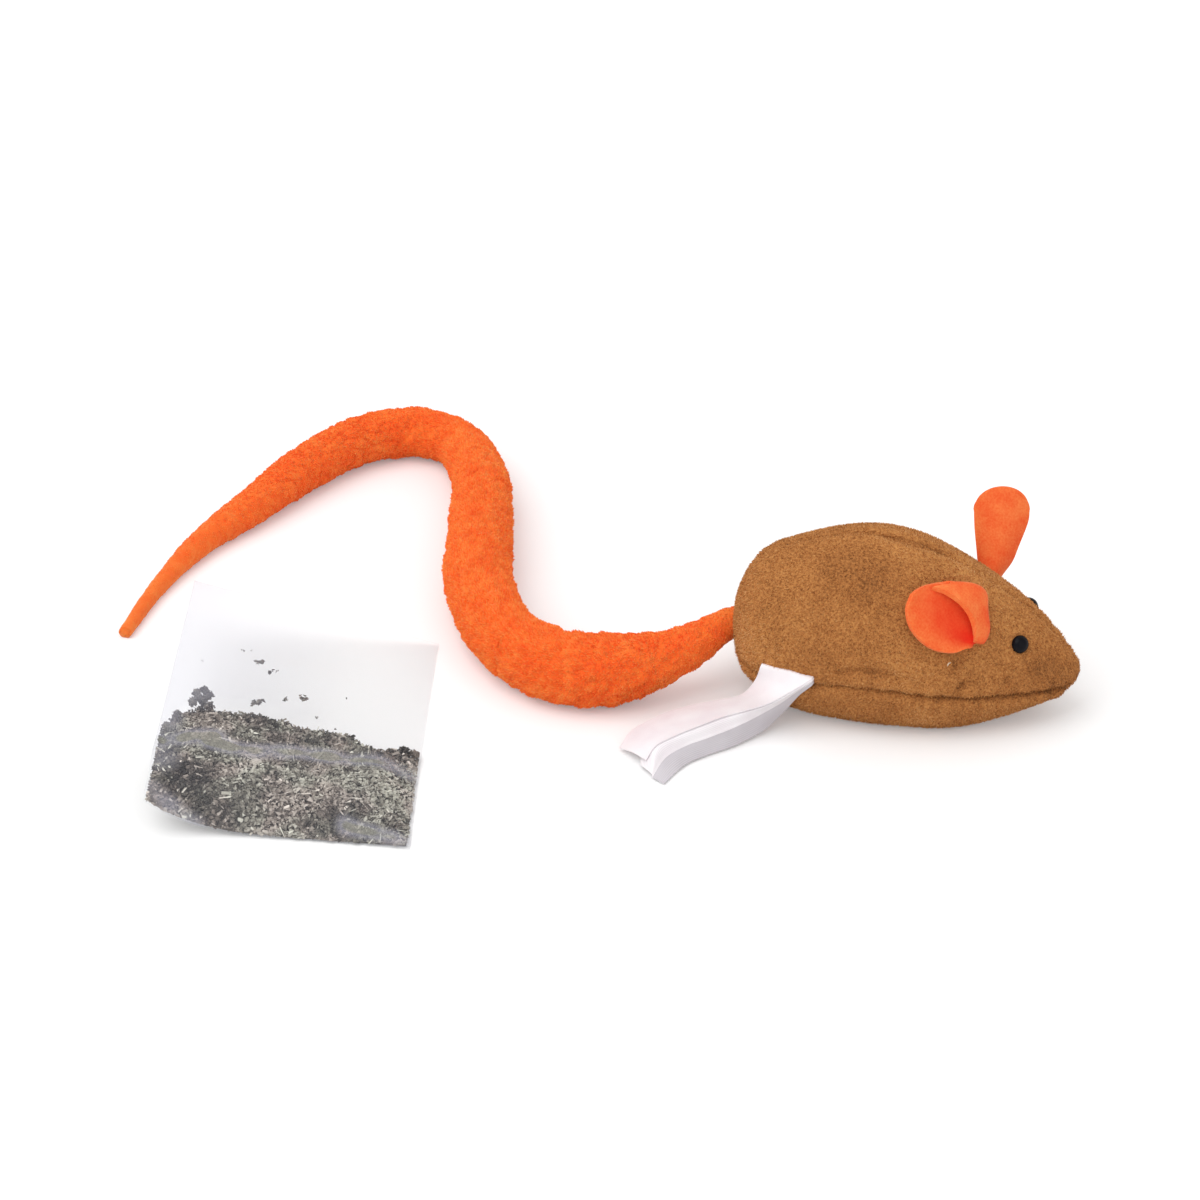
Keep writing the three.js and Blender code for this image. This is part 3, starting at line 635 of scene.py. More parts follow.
def addEye(name, side, s=eyeSettings):
    angle = s["angle"] if side > 0 else np.pi - s["angle"]
    step = 0.01
    seat, ahead, around = bodyPoint(s["alongShare"] + np.array([0, step, 0]), angle + np.array([0, 0, step]))
    turn = Vector(unit(np.cross(around - seat, ahead - seat))).to_track_quat("Z", "Y")
    bpy.ops.mesh.primitive_uv_sphere_add(segments=2 * s["rings"], ring_count=s["rings"], radius=s["diameter"] / 2)
    eye = bpy.context.object
    eye.name = eye.data.name = name
    editMesh(eye, (bpy.ops.mesh.bisect, {"plane_co": (0, 0, 0), "plane_no": (0, 0, 1), "clear_inner": True,
                                         "use_fill": True}))
    eye.scale = (1, 1, 2 * s["domeShare"])
    bpy.ops.object.transform_apply(scale=True)
    bpy.ops.mesh.primitive_cylinder_add(vertices=s["postSides"], radius=s["post"] / 2, depth=s["postLength"],
                                        location=(0, 0, -s["postLength"] / 2 + s["postOverlap"]))
    joinTo(eye, [bpy.context.object])
    applyModifier(eye, "BEVEL", width=s["edge"], segments=2, limit_method="ANGLE")
    moveCorners(eye, np.array([turn @ Vector(p + np.array([0, 0, s["lift"]])) for p in cornersOf(eye)]) + seat)
    bpy.ops.object.shade_smooth_by_angle(angle=math.radians(40))
    eye.data.materials.append(blackAcrylic)
    return eye


for name, node, side in (("right_eye_dome", "right_eye", -1), ("left_eye_dome", "left_eye", 1)):
    eye = addEye(name, side)
    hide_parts(node)
    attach(eye, "mouse_body")
print("eyes made")


# Tail: a tapered fleece sleeve, in stretches that each hold one joint

tailSettings = {
    "start": -50 * mm, "reach": 179 * mm, "sway": 126 * mm, "rootHeight": 19 * mm, "radius": 11 * mm,
    "restFlat": 0.5 * mm, "ringGap": 0.75 * mm, "sides": 92,
    "routeShares": [
        (-0.03, 0, 1), (0, -0.015, 0.98), (0.075, -0.115, 0.74), (0.165, -0.175, 0.57), (0.255, -0.195, 0),
        (0.355, -0.11, 0), (0.442, 0.095, 0), (0.494, 0.38, 0), (0.541, 0.63, 0), (0.62, 0.815, 0),
        (0.7, 0.845, 0), (0.785, 0.775, 0), (0.855, 0.61, 0), (0.905, 0.43, 0), (0.96, 0.25, 0),
        (0.99, 0.05, 0), (1, -0.17, 0)],
    "radiusShares": [0.38, 0.42, 0.66, 0.97, 1, 0.96, 0.97, 0.94, 0.84, 0.76, 0.76, 0.74, 0.69, 0.57, 0.4, 0.26, 0.19],
    "jointShares": [0.042, 0.14, 0.265, 0.43, 0.585, 0.745, 1],
    "inset": 0.8 * mm, "tuft": 1.5 * mm, "tuftSize": 4 * mm, "lock": 0.3 * mm, "lockSize": 1.8 * mm,
    # the pile is clipped short where the radius share is at the first number, and full that much further on;
    # partingShade is the painted shade in the partings between the locks
    "clipped": 0.12, "fullOver": 0.75, "shortest": 0.08, "parting": 0.06, "partingShade": 0.25,
}


def tailRoute(s=tailSettings):
    heights = [max(lift * s["rootHeight"], share * s["radius"] - s["restFlat"])
               for (_, _, lift), share in zip(s["routeShares"], s["radiusShares"])]
    return np.array([(s["start"] - reach * s["reach"], sway * s["sway"], height)
                     for (reach, sway, _), height in zip(s["routeShares"], heights)])


def smoothRoute(points, t):
    # a centripetal curve through the points, as the solids use
    p0, p1, p2, p3, f = fourAround(points, t)
    d0, d1, d2 = (np.linalg.norm(b - a, axis=1)[:, None] ** 0.5 for a, b in ((p0, p1), (p1, p2), (p2, p3)))
    leave = ((p1 - p0) / d0 - (p2 - p0) / (d0 + d1) + (p2 - p1) / d1) * d1
    arrive = ((p2 - p1) / d1 - (p3 - p1) / (d1 + d2) + (p3 - p2) / d2) * d1
    return (p1 + leave * f + (3 * (p2 - p1) - 2 * leave - arrive) * f ** 2
            + (2 * (p1 - p2) + leave + arrive) * f ** 3)


routeSteps = np.linspace(0, 1, 2401)
routePlaces = smoothRoute(tailRoute(), routeSteps)
routeRuns = np.concatenate([[0], np.cumsum(np.linalg.norm(np.diff(routePlaces, axis=0), axis=1))])
tailLength = routeRuns[-1]


def tailCentre(share):
    # centre, direction and radius of the tail at shares of its length
    t = np.interp(share * tailLength, routeRuns, routeSteps)
    nudge = 0.002
    centre, before, after = (smoothRoute(tailRoute(), np.clip(t + step, 0, 1)) for step in (0, -nudge, nudge))
    return centre, unit(after - before), smoothShares(tailSettings["radiusShares"], t) * tailSettings["radius"]


def tailPoint(share, turn, s=tailSettings):
    centre, ahead, radius = tailCentre(share)
    sideways = unit(np.cross(ahead, (0, 0, 1)))
    upright = np.cross(sideways, ahead)
    reach = (radius - s["inset"] * np.minimum(radius / s["radius"] * 1.3, 1))[:, None]
    return centre + reach * (np.sin(turn)[:, None] * upright - np.cos(turn)[:, None] * sideways)


def tailNear(places, skip):
    # the tail's centre, direction and radius where it passes nearest to each place
    near = np.abs(places[:, None, :2] - routePlaces[None, ::skip, :2]).sum(-1).argmin(1)
    return tailCentre(routeRuns[::skip][near] / tailLength)


def fullnessAt(places, s=tailSettings):
    # how thick and loose the pile is there: long at the middle of the tail, clipped short towards the tip
    _, _, radius = tailNear(places, 40)
    return np.clip((radius / s["radius"] - s["clipped"]) / s["fullOver"], s["shortest"], 1)


def tailNap(places):
    return tailNear(places, 20)[1]


# Sheared fleece: long soft polyester pile that parts into small locks, painted deeper red between them as shade
orangeFleece, tree, surface = newMaterial("sheared orange fleece", {
    "Roughness": 0.85, "Specular IOR Level": 0.15, "Sheen Weight": 0.8, "Sheen Roughness": 0.5,
    "Sheen Tint": linearColour("#ffb878"), "Subsurface Weight": 0.35,
    "Subsurface Radius": (2.5 * mm, 0.9 * mm, 0.4 * mm)})
mixed = weighted(tree, (storedValue(tree, "tone"), 0.6), (clouds(tree, 6 * mm, 2), 0.6))
paint(tree, surface, mixed, [(0.25, "#f25a22"), (0.55, "#f76e29"), (0.85, "#fd9043")])


def reliefOfFleece(places, s=tailSettings):
    # soft round locks with narrow partings between them
    locks = np.abs(noiseAt(places, s["tuftSize"], seed=4)) ** 0.7 - 0.35
    return s["tuft"] * locks + s["lock"] * noiseAt(places, s["lockSize"], seed=5)


def paintedShadeOfFleece(places, s=tailSettings):
    # painted shade in the narrow partings between the locks
    locks = np.abs(noiseAt(places, s["tuftSize"], seed=4))
    return s["partingShade"] * np.exp(-(locks / s["parting"]) ** 2) * fullnessAt(places)


def addTailPiece(name, start, end, s=tailSettings):
    rows = max(6, int((end - start) * tailLength / s["ringGap"] * detail))
    sides = int(s["sides"] * detail) // 2 * 2
    piece, _, _ = addCloth(name, sides, rows, lambda w, l: tailPoint(start + (end - start) * l, 2 * np.pi * w))
    applyModifier(piece, "WELD", merge_threshold=0.005 * mm)
    editMesh(piece, (bpy.ops.mesh.select_all, {"action": "DESELECT"}),
             (bpy.ops.mesh.select_non_manifold, {"extend": False}), (bpy.ops.mesh.edge_face_add, {}),
             (bpy.ops.mesh.select_all, {"action": "SELECT"}), (bpy.ops.mesh.normals_make_consistent, {"inside": False}))
    places = cornersOf(piece)
    nearest = np.linalg.norm(places[:, None, :] - routePlaces[None, ::10, :], axis=-1).argmin(1)
    outward = unit(places - routePlaces[::10][nearest])
    moveCorners(piece, aboveFloor(places + outward * (fullnessAt(places) * reliefOfFleece(places))[:, None]))
    smoothShade(piece)
    return piece


fleecePile = {
    "perArea": 3.4, "lengthAt": lambda places: 0.8 * mm * fullnessAt(places), "width": 0.7 * mm, "lean": 0.8,
    "spread": 0.12, "clump": 0.45, "clumpSize": 3 * mm, "napAt": tailNap, "paintedShadingAt": paintedShadeOfFleece,
}

joints = tailSettings["jointShares"]
breaks = [0] + [(a + b) / 2 for a, b in zip(joints[:-2], joints[1:-1])] + [1]
bodies = ["mouse_body"] + ["tail_%d" % k for k in range(1, 7)]
for k in range(6):
    piece = addTailPiece("tail_fleece_%d" % (k + 1), breaks[k], breaks[k + 1])
    pile = addPile(piece, 20 + k, **fleecePile)
    for part in (piece, pile):
        part.data.materials.append(orangeFleece)
    joinTo(piece, [pile])
    centre, ahead, radius = (value[0] for value in tailCentre(np.array([joints[k]])))
    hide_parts("tail_sleeve_%d" % (k + 1), *(["tail_root"] if k == 0 else []))
    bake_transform(piece)
print("tail made, %.0f mm long" % (tailLength / mm))


# Ears: one ply of brushed cloth each, pinched where it is sewn in

earSettings = {"thick": 1.6 * mm, "rim": 0.7 * mm, "columns": 34, "rows": 44, "wide": 24 * mm, "long": 31 * mm,
               "roundShare": 0.76}
# each ear as rows of points from its root to its tip, in mm to the right, up and towards the viewer from its seat
rightEarSeat = (20.3 * mm, -17.1 * mm, 29.4 * mm)
rightEarMm = [
    [(-0.6, 0.2, -2.6), (-0.1, 0.4, -2.8), (0.4, 0.8, -3), (1, 1, -3), (2, 1, -2.8), (0.8, 1.3, -2.4)],
    [(-0.8, -0.5, 0.8), (-0.2, 0, 0.4), (0.4, 0.8, -0.1), (1.6, 1.2, -0.3), (3.4, 1.2, 0.2), (0.7, 1.9, 1.7)],
    [(-5.2, -2.2, 3.6), (-3.4, -0.2, 2.4), (-1.7, 1.4, 1.3), (1.2, 3, 0.4), (4.7, 4.4, 0.4), (0.5, 4.9, 4.4)],
    [(-11.9, -0.8, 6.2), (-8.7, 2, 4.7), (-4.6, 3.9, 2.7), (0.8, 5.9, 0.7), (4.2, 9.4, 0.6), (-0.9, 8.6, 5.9)],
    [(-17, 4, 8.1), (-13.3, 6.5, 6.4), (-7.8, 8.4, 3.9), (-0.6, 10.2, 1.4), (3.7, 14.6, 0.4), (-3.7, 11.9, 6.9)],
    [(-18.6, 9.6, 8.7), (-16.1, 11, 7.5), (-11, 13, 5.6), (-4.6, 14.4, 3.2), (0.2, 16.6, 2), (-7.7, 14.6, 7.5)],
    [(-17.2, 14.1, 8.5), (-15.6, 15.4, 7.8), (-13.3, 16.6, 6.8), (-10, 17.2, 5.7), (-6.2, 17.1, 5), (-11.4, 15.9, 7.6)],
]
leftEarSeat = (19.86 * mm, 15.18 * mm, 32.69 * mm)
# rows of the far ear: left, right and height of the row, how far its ends bend back, and how far its middle bulges up
leftEarRows = [(0.6, 2.9, -1.6, 3, 0), (-0.9, 4.5, 1.1, 3.2, 0), (-1.5, 7.4, 5, 3.2, 0), (-2, 9.2, 9.3, 3, 0),
               (-2.5, 11, 13.6, 2.8, 0), (-2.75, 12.05, 16.4, 2.6, 0.9), (-2.8, 12.3, 18.5, 2.5, 3),
               (-2.45, 12, 20.2, 2.4, 5.9)]
turnSteps = np.linspace(0, np.pi, 9)
leftEarMm = [[((left + right) / 2 - (right - left) / 2 * math.cos(turn), high + bulge * math.sin(turn),
               -bend * math.cos(turn) ** 2) for turn in turnSteps] for left, right, high, bend, bulge in leftEarRows]

# Brushed cloth: short even nap on a tight knit, bright and matt, painted redder where it folds in on itself: painted
# shade and painted red light thrown back inside the cup
orangeCloth, tree, surface = newMaterial("brushed orange cloth", {
    "Roughness": 0.8, "Specular IOR Level": 0.2, "Sheen Weight": 0.3, "Sheen Roughness": 0.4,
    "Sheen Tint": linearColour("#ffc09a"), "Subsurface Weight": 0.15,
    "Subsurface Radius": (2 * mm, 0.6 * mm, 0.25 * mm)})
nap = clouds(tree, 0.6 * mm, 3)
mixed = weighted(tree, (nap, 0.5), (clouds(tree, 5 * mm, 1), 0.5))
openCloth = colourRamp(tree, mixed, [(0.35, "#f15f29"), (0.65, "#f98747")])
cupShadeCloth = colourRamp(tree, mixed, [(0.35, "#e4270f"), (0.65, "#ea3417")])
blendColours(tree, surface, storedValue(tree, "fold"), openCloth, cupShadeCloth)
addBump(tree, surface, nap, 0.12 * mm, 0.5)


def addEar(name, node, seat, table, cupShadeAt, s=earSettings):
    table = np.array(table) * mm @ np.array(cameraAxes()) + np.array(seat)
    ear, across, along = addCloth(name, s["columns"], s["rows"], lambda *shares: smoothSurface(table, *shares))
    middle, wide, strength = cupShadeAt
    # painted shade and reflected red inside the cup where the cloth folds in, stored as the fold value
    depth = strength * np.exp(-np.abs((across - middle) / wide) ** 3) * np.clip(1.2 - along, 0.1, 1) ** 0.8
    storeValues(ear, "fold", depth)
    applyModifier(ear, "SOLIDIFY", thickness=s["thick"], offset=0)
    applyModifier(ear, "BEVEL", width=s["rim"], segments=3, limit_method="ANGLE", angle_limit=math.radians(50))
    smoothShade(ear)
    ear.data.materials.append(orangeCloth)
    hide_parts(node, node + "_root")
    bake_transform(ear)


addEar("right_ear_cloth", "right_ear", rightEarSeat, rightEarMm,
       (0.5, 0.33, 1.15))
addEar("left_ear_cloth", "left_ear", leftEarSeat, leftEarMm, (0.6, 0.5, 0.2))


# Thread end: a short pale end of sewing thread left standing under the near ear
def addThreadEnd(points, thick):
    centres = smoothShares(np.array(points) * mm, np.linspace(0, 1, 12))
    bpy.ops.mesh.primitive_cylinder_add(vertices=8, radius=1, depth=1)
    thread = bpy.context.object
    thread.name = thread.data.name = "ear_thread_end"
    editMesh(thread, (bpy.ops.mesh.subdivide, {"number_cuts": 10, "quadcorner": "INNERVERT"}))
    places = cornersOf(thread)
    at = smoothShares(centres, np.clip(places[:, 2] + 0.5, 0, 1))
    ahead = unit(centres[-1] - centres[0])
    side = unit(np.cross(ahead, (0.2, 1, 0.1)))
    moveCorners(thread, at + thick / 2 * (places[:, :1] * side + places[:, 1:2] * np.cross(ahead, side)))
    smoothShade(thread)
    thread.data.materials.append(sewingThread)
    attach(thread, "mouse_body")


# Spun polyester thread: pale, matt and finely twisted
sewingThread, tree, surface = newMaterial("spun polyester thread", {"Roughness": 0.7})
coordinates = addNode(tree, "ShaderNodeTexCoord").outputs["Object"]
twist = addNode(tree, "ShaderNodeTexWave", {"Vector": coordinates, "Scale": 1 / (0.9 * mm)},
                bands_direction="DIAGONAL").outputs["Fac"]
paint(tree, surface, twist, [(0.2, "#cdb393"), (0.8, "#efe0c8")])
addThreadEnd([(15.7, -20.2, 25.2), (15.5, -21, 25.4), (15, -21.9, 25.5), (14.7, -22.2, 24.8)], 0.45 * mm)
print("ears made")


# Label: two plies of satin tape sewn into the seam, left bare

labelSettings = {
    "thick": 0.3 * mm, "rows": 90, "columns": 30, "sunk": 3 * mm, "ripple": 0.25 * mm, "rippleSize": 9 * mm,
    "wide": 15 * mm, "long": 52 * mm, "shadedReverseFrom": 0.6, "inward": np.array([0.15, 0.98, 0]),
    "bulge": 0.5 * mm, "tuck": 0.4 * mm, "tuckShare": 0.03, "drop": 2.2 * mm, "lowest": 0.7 * mm, "foldShare": 0.2,
    "hinge": np.array([-30.93, -24.35, 14.16]) * mm, "swing": np.array([-0.471, -0.882, -0.5]),
    "bend": (0.4 * mm, 4.8 * mm),
}
# long edges and folds of each ply, from the seam to the free end, in mm
upperFar = [(-38.1, -22.4, 17.5), (-39.8, -21.5, 12), (-43.5, -21.8, 7), (-49.8, -24.8, 5.9), (-56.6, -28.6, 5.6),
            (-62.6, -34, 5.8), (-67.9, -39.2, 4.6), (-71.9, -42.2, 2.4), (-73.3, -48, 1)]
upperNear = [(-22.9, -27.6, 18.2), (-28.4, -29.8, 14.5), (-34, -32.5, 11.6), (-40, -35.4, 10.2), (-46, -38.8, 9.4),
             (-51.6, -44.2, 8.9), (-57.1, -49.2, 8.2), (-61.7, -52.2, 6.2), (-64.1, -55, 2.6)]
lowerFold = [(-22.8, -27.4, 17.2), (-27.1, -27.1, 13.3), (-31.7, -29.1, 9.8), (-37.2, -33.1, 7.2), (-43.2, -39, 6),
             (-48.9, -44.6, 5.6), (-53.9, -48.6, 5), (-58.9, -53, 3), (-61.2, -60, 0.6)]
lowerNear = [(-22.7, -27.2, 16), (-26.6, -25.4, 11), (-31.1, -26, 5), (-35.5, -30.8, 1.6), (-41.3, -38, 0.6),
             (-48.3, -44.9, 0.5), (-52.9, -50.2, 0.5), (-55.4, -55.8, 0.4), (-57.4, -62.2, 0.4)]


def labelTables(s=labelSettings):
    # the upper ply arches a little; the lower one comes out from under it and folds back near the floor
    far, near, fold, low = (np.array(line) * mm for line in (upperFar, upperNear, lowerFold, lowerNear))
    middle = (far + near) / 2 + [0, 0, s["bulge"]]
    lowest = [-np.inf, -np.inf, s["lowest"]]
    under = np.maximum(near + s["tuckShare"] * (far - near) - [0, 0, s["tuck"]], lowest)
    behind = np.maximum(near + 0.5 * (far - near) - [0, 0, s["drop"]], lowest)
    under[-1], behind[-1] = under[-1] * 0.3 + fold[-1] * 0.7, behind[-1] * 0.6 + fold[-1] * 0.4
    above, below = fold + s["foldShare"] * (under - fold), fold + s["foldShare"] * (low - fold)
    return {"upper_label_ply": np.stack([far, middle, near], 1),
            "lower_label_ply": np.stack([behind, under, above, fold, below, low], 1)}


# Woven polyester satin: bright and smooth with a very fine thread line; its reverse is duller, and painted greyer as
# shade where the lower ply turns steeply down
labelFaces = {}
for face, roughness, stops in (("woven white satin tape", 0.42, [(0.3, "#ece2e7"), (0.6, "#f8f4f6")]),
                               ("dull reverse of satin tape", 0.6, [(0.3, "#c6c0c5"), (0.6, "#d6d1d6")])):
    satin, tree, surface = newMaterial(face, {"Roughness": roughness, "Anisotropic": 0.4})
    threads = addNode(tree, "ShaderNodeUVMap").outputs["UV"]
    threads = addNode(tree, "ShaderNodeMapping", {"Vector": threads, "Scale": (15, 52, 1)}).outputs[0]
    weave = addNode(tree, "ShaderNodeTexWave", {"Vector": threads, "Scale": 0.8, "Distortion": 0.6, "Detail": 2},
                    bands_direction="X").outputs["Fac"]
    paint(tree, surface, weighted(tree, (weave, 0.3), (clouds(tree, 9 * mm, 2), 0.7)), stops)
    addBump(tree, surface, weave, 0.03 * mm, 0.4)
    labelFaces[face] = satin


def addLabelPly(name, table, node, s=labelSettings):
    table = np.concatenate([[table[0] + s["inward"] * s["sunk"]], table])
    ply, across, _ = addCloth(name, s["columns"], s["rows"], lambda *shares: smoothSurface(table, *shares))
    places = cornersOf(ply)
    places = places + normalsOf(ply) * (s["ripple"] * noiseAt(places, s["rippleSize"], seed=7))[:, None]
    moveCorners(ply, places)
    applyModifier(ply, "SOLIDIFY", thickness=s["thick"], offset=0)
    moveCorners(ply, aboveFloor(cornersOf(ply)))
    for face in labelFaces.values():
        ply.data.materials.append(face)
    # the lower ply's steep outer band gets the reverse: its real duller side, painted greyer as shade
    shadedReverseFrom = s["shadedReverseFrom"] if node == "care_label" else 1
    for polygon in ply.data.polygons:
        share = np.mean([across[corner % len(across)] for corner in polygon.vertices])
        polygon.material_index = int(share > shadedReverseFrom)
    bpy.ops.object.shade_smooth_by_angle(angle=math.radians(50))
    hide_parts(node)
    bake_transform(ply)


for (name, table), node in zip(labelTables().items(), ("upper_label", "care_label")):
    addLabelPly(name, table, node)
print("label made")


# Bag: two films sealed at the rim over loose crushed herb

bagSettings = {
    "wide": 71.5 * mm, "long": 102 * mm, "centre": (-163.8 * mm, -61.2 * mm), "turn": 0.173, "curl": 19.3 * mm,
    "lowCurl": 10.3 * mm, "flat": 0.6, "curlRise": 0.85, "corner": (2.3 * mm, -3.9 * mm), "drape": 2.2,
    "herbThick": 7 * mm, "herbLow": 0.03, "herbFill": 0.5, "herbSteep": 2.2,
    "filmGap": 0.6 * mm, "filmThick": 0.1 * mm, "columns": 90, "rows": 120, "wrinkle": 0.7 * mm, "wrinkleSize": 16 * mm,
    "headroom": 1.3 * mm, "crest": 1.8 * mm, "crestFrom": 0.01, "crestReach": (0.04, 0.1), "sealShare": 0.05,
    "underLift": 0.06 * mm, "clearUnder": 0.2 * mm, "clearOver": 0.12 * mm, "clearSides": (0.008, 0.006),
}


def bagPoint(across, along, height, s=bagSettings):
    x, y = (across - 0.5) * s["wide"], (along - 0.5) * s["long"]
    cosine, sine = math.cos(s["turn"]), math.sin(s["turn"])
    lowRise = np.maximum(1 - across / s["flat"], 0)
    rise = np.maximum(1 - across / (1 - (1 - s["flat"]) * (1 - along)), 0)
    curl = s["lowCurl"] * lowRise ** 3 * (1 - along) + s["curl"] * rise * np.maximum(along, 0) ** s["curlRise"]
    pulled = (across * (1 - along)) ** 2  # one corner is pulled out a little
    return np.stack([s["centre"][0] + x * cosine - y * sine + s["corner"][0] * pulled,
                     s["centre"][1] + x * sine + y * cosine + s["corner"][1] * pulled, height + curl], -1)


def bagShares(places, s=bagSettings):
    # shares across and along the bag under each place
    cosine, sine = math.cos(s["turn"]), math.sin(s["turn"])
    pulled = np.zeros((len(places), 1))
    for _ in range(2):
        offset = places[:, :2] - np.array(s["centre"]) - pulled * s["corner"]
        across = (offset[:, 0] * cosine + offset[:, 1] * sine) / s["wide"] + 0.5
        along = (offset[:, 1] * cosine - offset[:, 0] * sine) / s["long"] + 0.5
        pulled = ((across * (1 - along)) ** 2)[:, None]
    return across, along


def herbHeight(across, along, s=bagSettings):
    lengthwise = np.clip((along - s["herbLow"]) / (s["herbFill"] - s["herbLow"]), 0, 1)
    sideways = np.clip((across - s["herbLow"]) / (1 - 2 * s["herbLow"]), 0, 1)
    swell = np.sin(np.pi * lengthwise) * np.sin(np.pi * sideways)
    rise = np.clip(swell * s["herbSteep"], 0, 1)
    return s["herbThick"] * (0.5 * rise ** 2 * (3 - 2 * rise) + 0.5 * np.maximum(swell, 0))


# Cast polyethylene film: thin and slightly milky, greyer where herb dust clings to it and towards its left side, with
# painted shade along its curled left edge and a painted highlight in one band over the herb
clearFilm, tree, surface = newMaterial("milky clear film", {"Roughness": 0.35, "Specular IOR Level": 0.12})
dust = storedValue(tree, "dust")
paint(tree, surface, dust, [(0, "#e2e1ee"), (0.24, "#d4d3e2"), (0.32, "#bfbeb6"), (0.45, "#b0aea6"), (1, "#9c998f")])
haze = addNode(tree, "ShaderNodeMapRange", {"Value": dust, "To Min": 0.005, "To Max": 0.7}).outputs[0]
tree.links.new(haze, surface.inputs["Alpha"])

# Crushed dried leaf: dull grey green crumbs from nearly black to pale, with straw coloured stalks
driedHerb, tree, surface = newMaterial("crushed dried catnip", {"Roughness": 0.95})
mixed = weighted(tree, (storedValue(tree, "tone"), 0.8), (clouds(tree, 0.7 * mm, 3), 0.2))
leafTones = colourRamp(tree, mixed, [(0.06, "#302f2c"), (0.26, "#5f5c56"), (0.46, "#878179"), (0.66, "#aea9a0"),
                                     (0.95, "#e7e4da")])
leafBatches = colourRamp(tree, clouds(tree, 9 * mm, 1), [(0.42, "#fafcf7"), (0.58, "#fff7f6")])
blendColours(tree, surface, 1, leafTones, leafBatches, blend_type="MULTIPLY")


herbSettings = {
    "flakes": 13000, "flakeSizes": (0.6, 1.2), "flakeRise": 0.9 * mm, "clumpFlakes": 190, "clumpRise": 2.2 * mm,
    "clumpSizes": (0.45, 0.7),
    "lumps": (0.9 * mm, 4.5 * mm, 0.5 * mm, 1.6 * mm), "edgeFade": 0.02, "lowest": 0.5 * mm, "raise": 0.1 * mm,
    "tone": 0.53, "toneNoise": (0.25, 10 * mm, 0.3, 3 * mm), "edgeDark": 0.26, "edgeReach": 0.05,
    "heapColumns": 150, "heapRows": 100, "heapThick": 0.5 * mm, "heapSides": (0.015, 0.012), "heapShort": 0.02,
    # sticks: lengths and widths in mm, from and over; tones by their middle, spread, least and most
    "stickRise": 1.4 * mm, "sticks": {
        "flecks": {"count": 340, "seed": 15, "turns": ("uniform", 0, np.pi), "tilt": 0.2, "lengths": (0.7, 1.6),
                   "power": 1.5, "widths": (0.45, 0.7), "tones": (0.88, 0.18, 0.5, 1.15)},
        "stalks": {"count": 110, "seed": 17, "turns": ("normal", -0.5, 0.8), "tilt": 0.15, "lengths": (1.6, 3),
                   "power": 2, "widths": (0.35, 0.35), "tones": (0.9, 0.15, 0.6, 1.1)},
    },
    # how far along the bag the herb reaches, at places across it
    "edge": [0.2, 0.29, 0.36, 0.4, 0.42, 0.43, 0.445, 0.445, 0.44, 0.425, 0.44, 0.435, 0.4, 0.4, 0.43, 0.42, 0.4],
    "edgeAt": [0, 0.01, 0.04, 0.09, 0.14, 0.22, 0.3, 0.376, 0.467, 0.549, 0.64, 0.73, 0.78, 0.83, 0.9, 0.96, 1],
    # clumps along the heap's edge and crumbs beyond it: place across and along, radius in mm
    "clumps": [(0.14, 0.42, 2), (0.105, 0.45, 1.7), (0.165, 0.455, 1.9), (0.137, 0.47, 1.9), (0.11, 0.49, 1.6),
               (0.155, 0.5, 1.7), (0.135, 0.515, 1.4), (0.06, 0.37, 1.6), (0.11, 0.39, 2), (0.03, 0.31, 1.6),
               (0.25, 0.43, 2.2), (0.3, 0.44, 2.4), (0.35, 0.445, 2.4), (0.4, 0.44, 2.6), (0.46, 0.43, 2.2),
               (0.54, 0.425, 2), (0.6, 0.43, 2.2), (0.65, 0.43, 2.2), (0.7, 0.425, 2.2), (0.75, 0.405, 1.8),
               (0.8, 0.385, 1.6), (0.88, 0.41, 1.5), (0.93, 0.42, 1.6), (0.975, 0.41, 1.8)],
    "crumbs": [(0.315, 0.718, 1.8), (0.364, 0.689, 1.5), (0.333, 0.548, 2), (0.505, 0.609, 1.7), (0.441, 0.588, 1.2),
               (0.568, 0.541, 0.8), (0.245, 0.751, 0.8), (0.386, 0.7, 0.7), (0.1, 0.655, 0.5), (0.674, 0.651, 0.6),
               (0.603, 0.493, 0.6), (0.649, 0.504, 0.7), (0.276, 0.759, 0.5)],
    # darker or paler batches of leaf: place across and along, reach in mm, change of tone
    "batches": [(0.05, 0.15, 6, -0.36), (0.16, 0.11, 7, -0.4), (0.27, 0.05, 6, -0.28), (0.38, 0.04, 6, -0.15),
                (0.72, 0.03, 8, -0.25), (0.9, 0.02, 5, -0.08), (0.33, 0.18, 8, 0.18), (0.5, 0.14, 9, 0.18),
                (0.9, 0.2, 10, 0.28), (0.7, 0.2, 9, 0.2), (0.05, 0.05, 4, 0.1), (0.15, 0.21, 5, 0.1)],
}
dustSettings = {"patchSize": 6 * mm, "patches": (0.85, 0.8), "least": 0.3, "most": 1.15, "fade": 0.06, "overHerb": 0.03,
                "clearFrom": 0.24, "clearTo": 0.7}
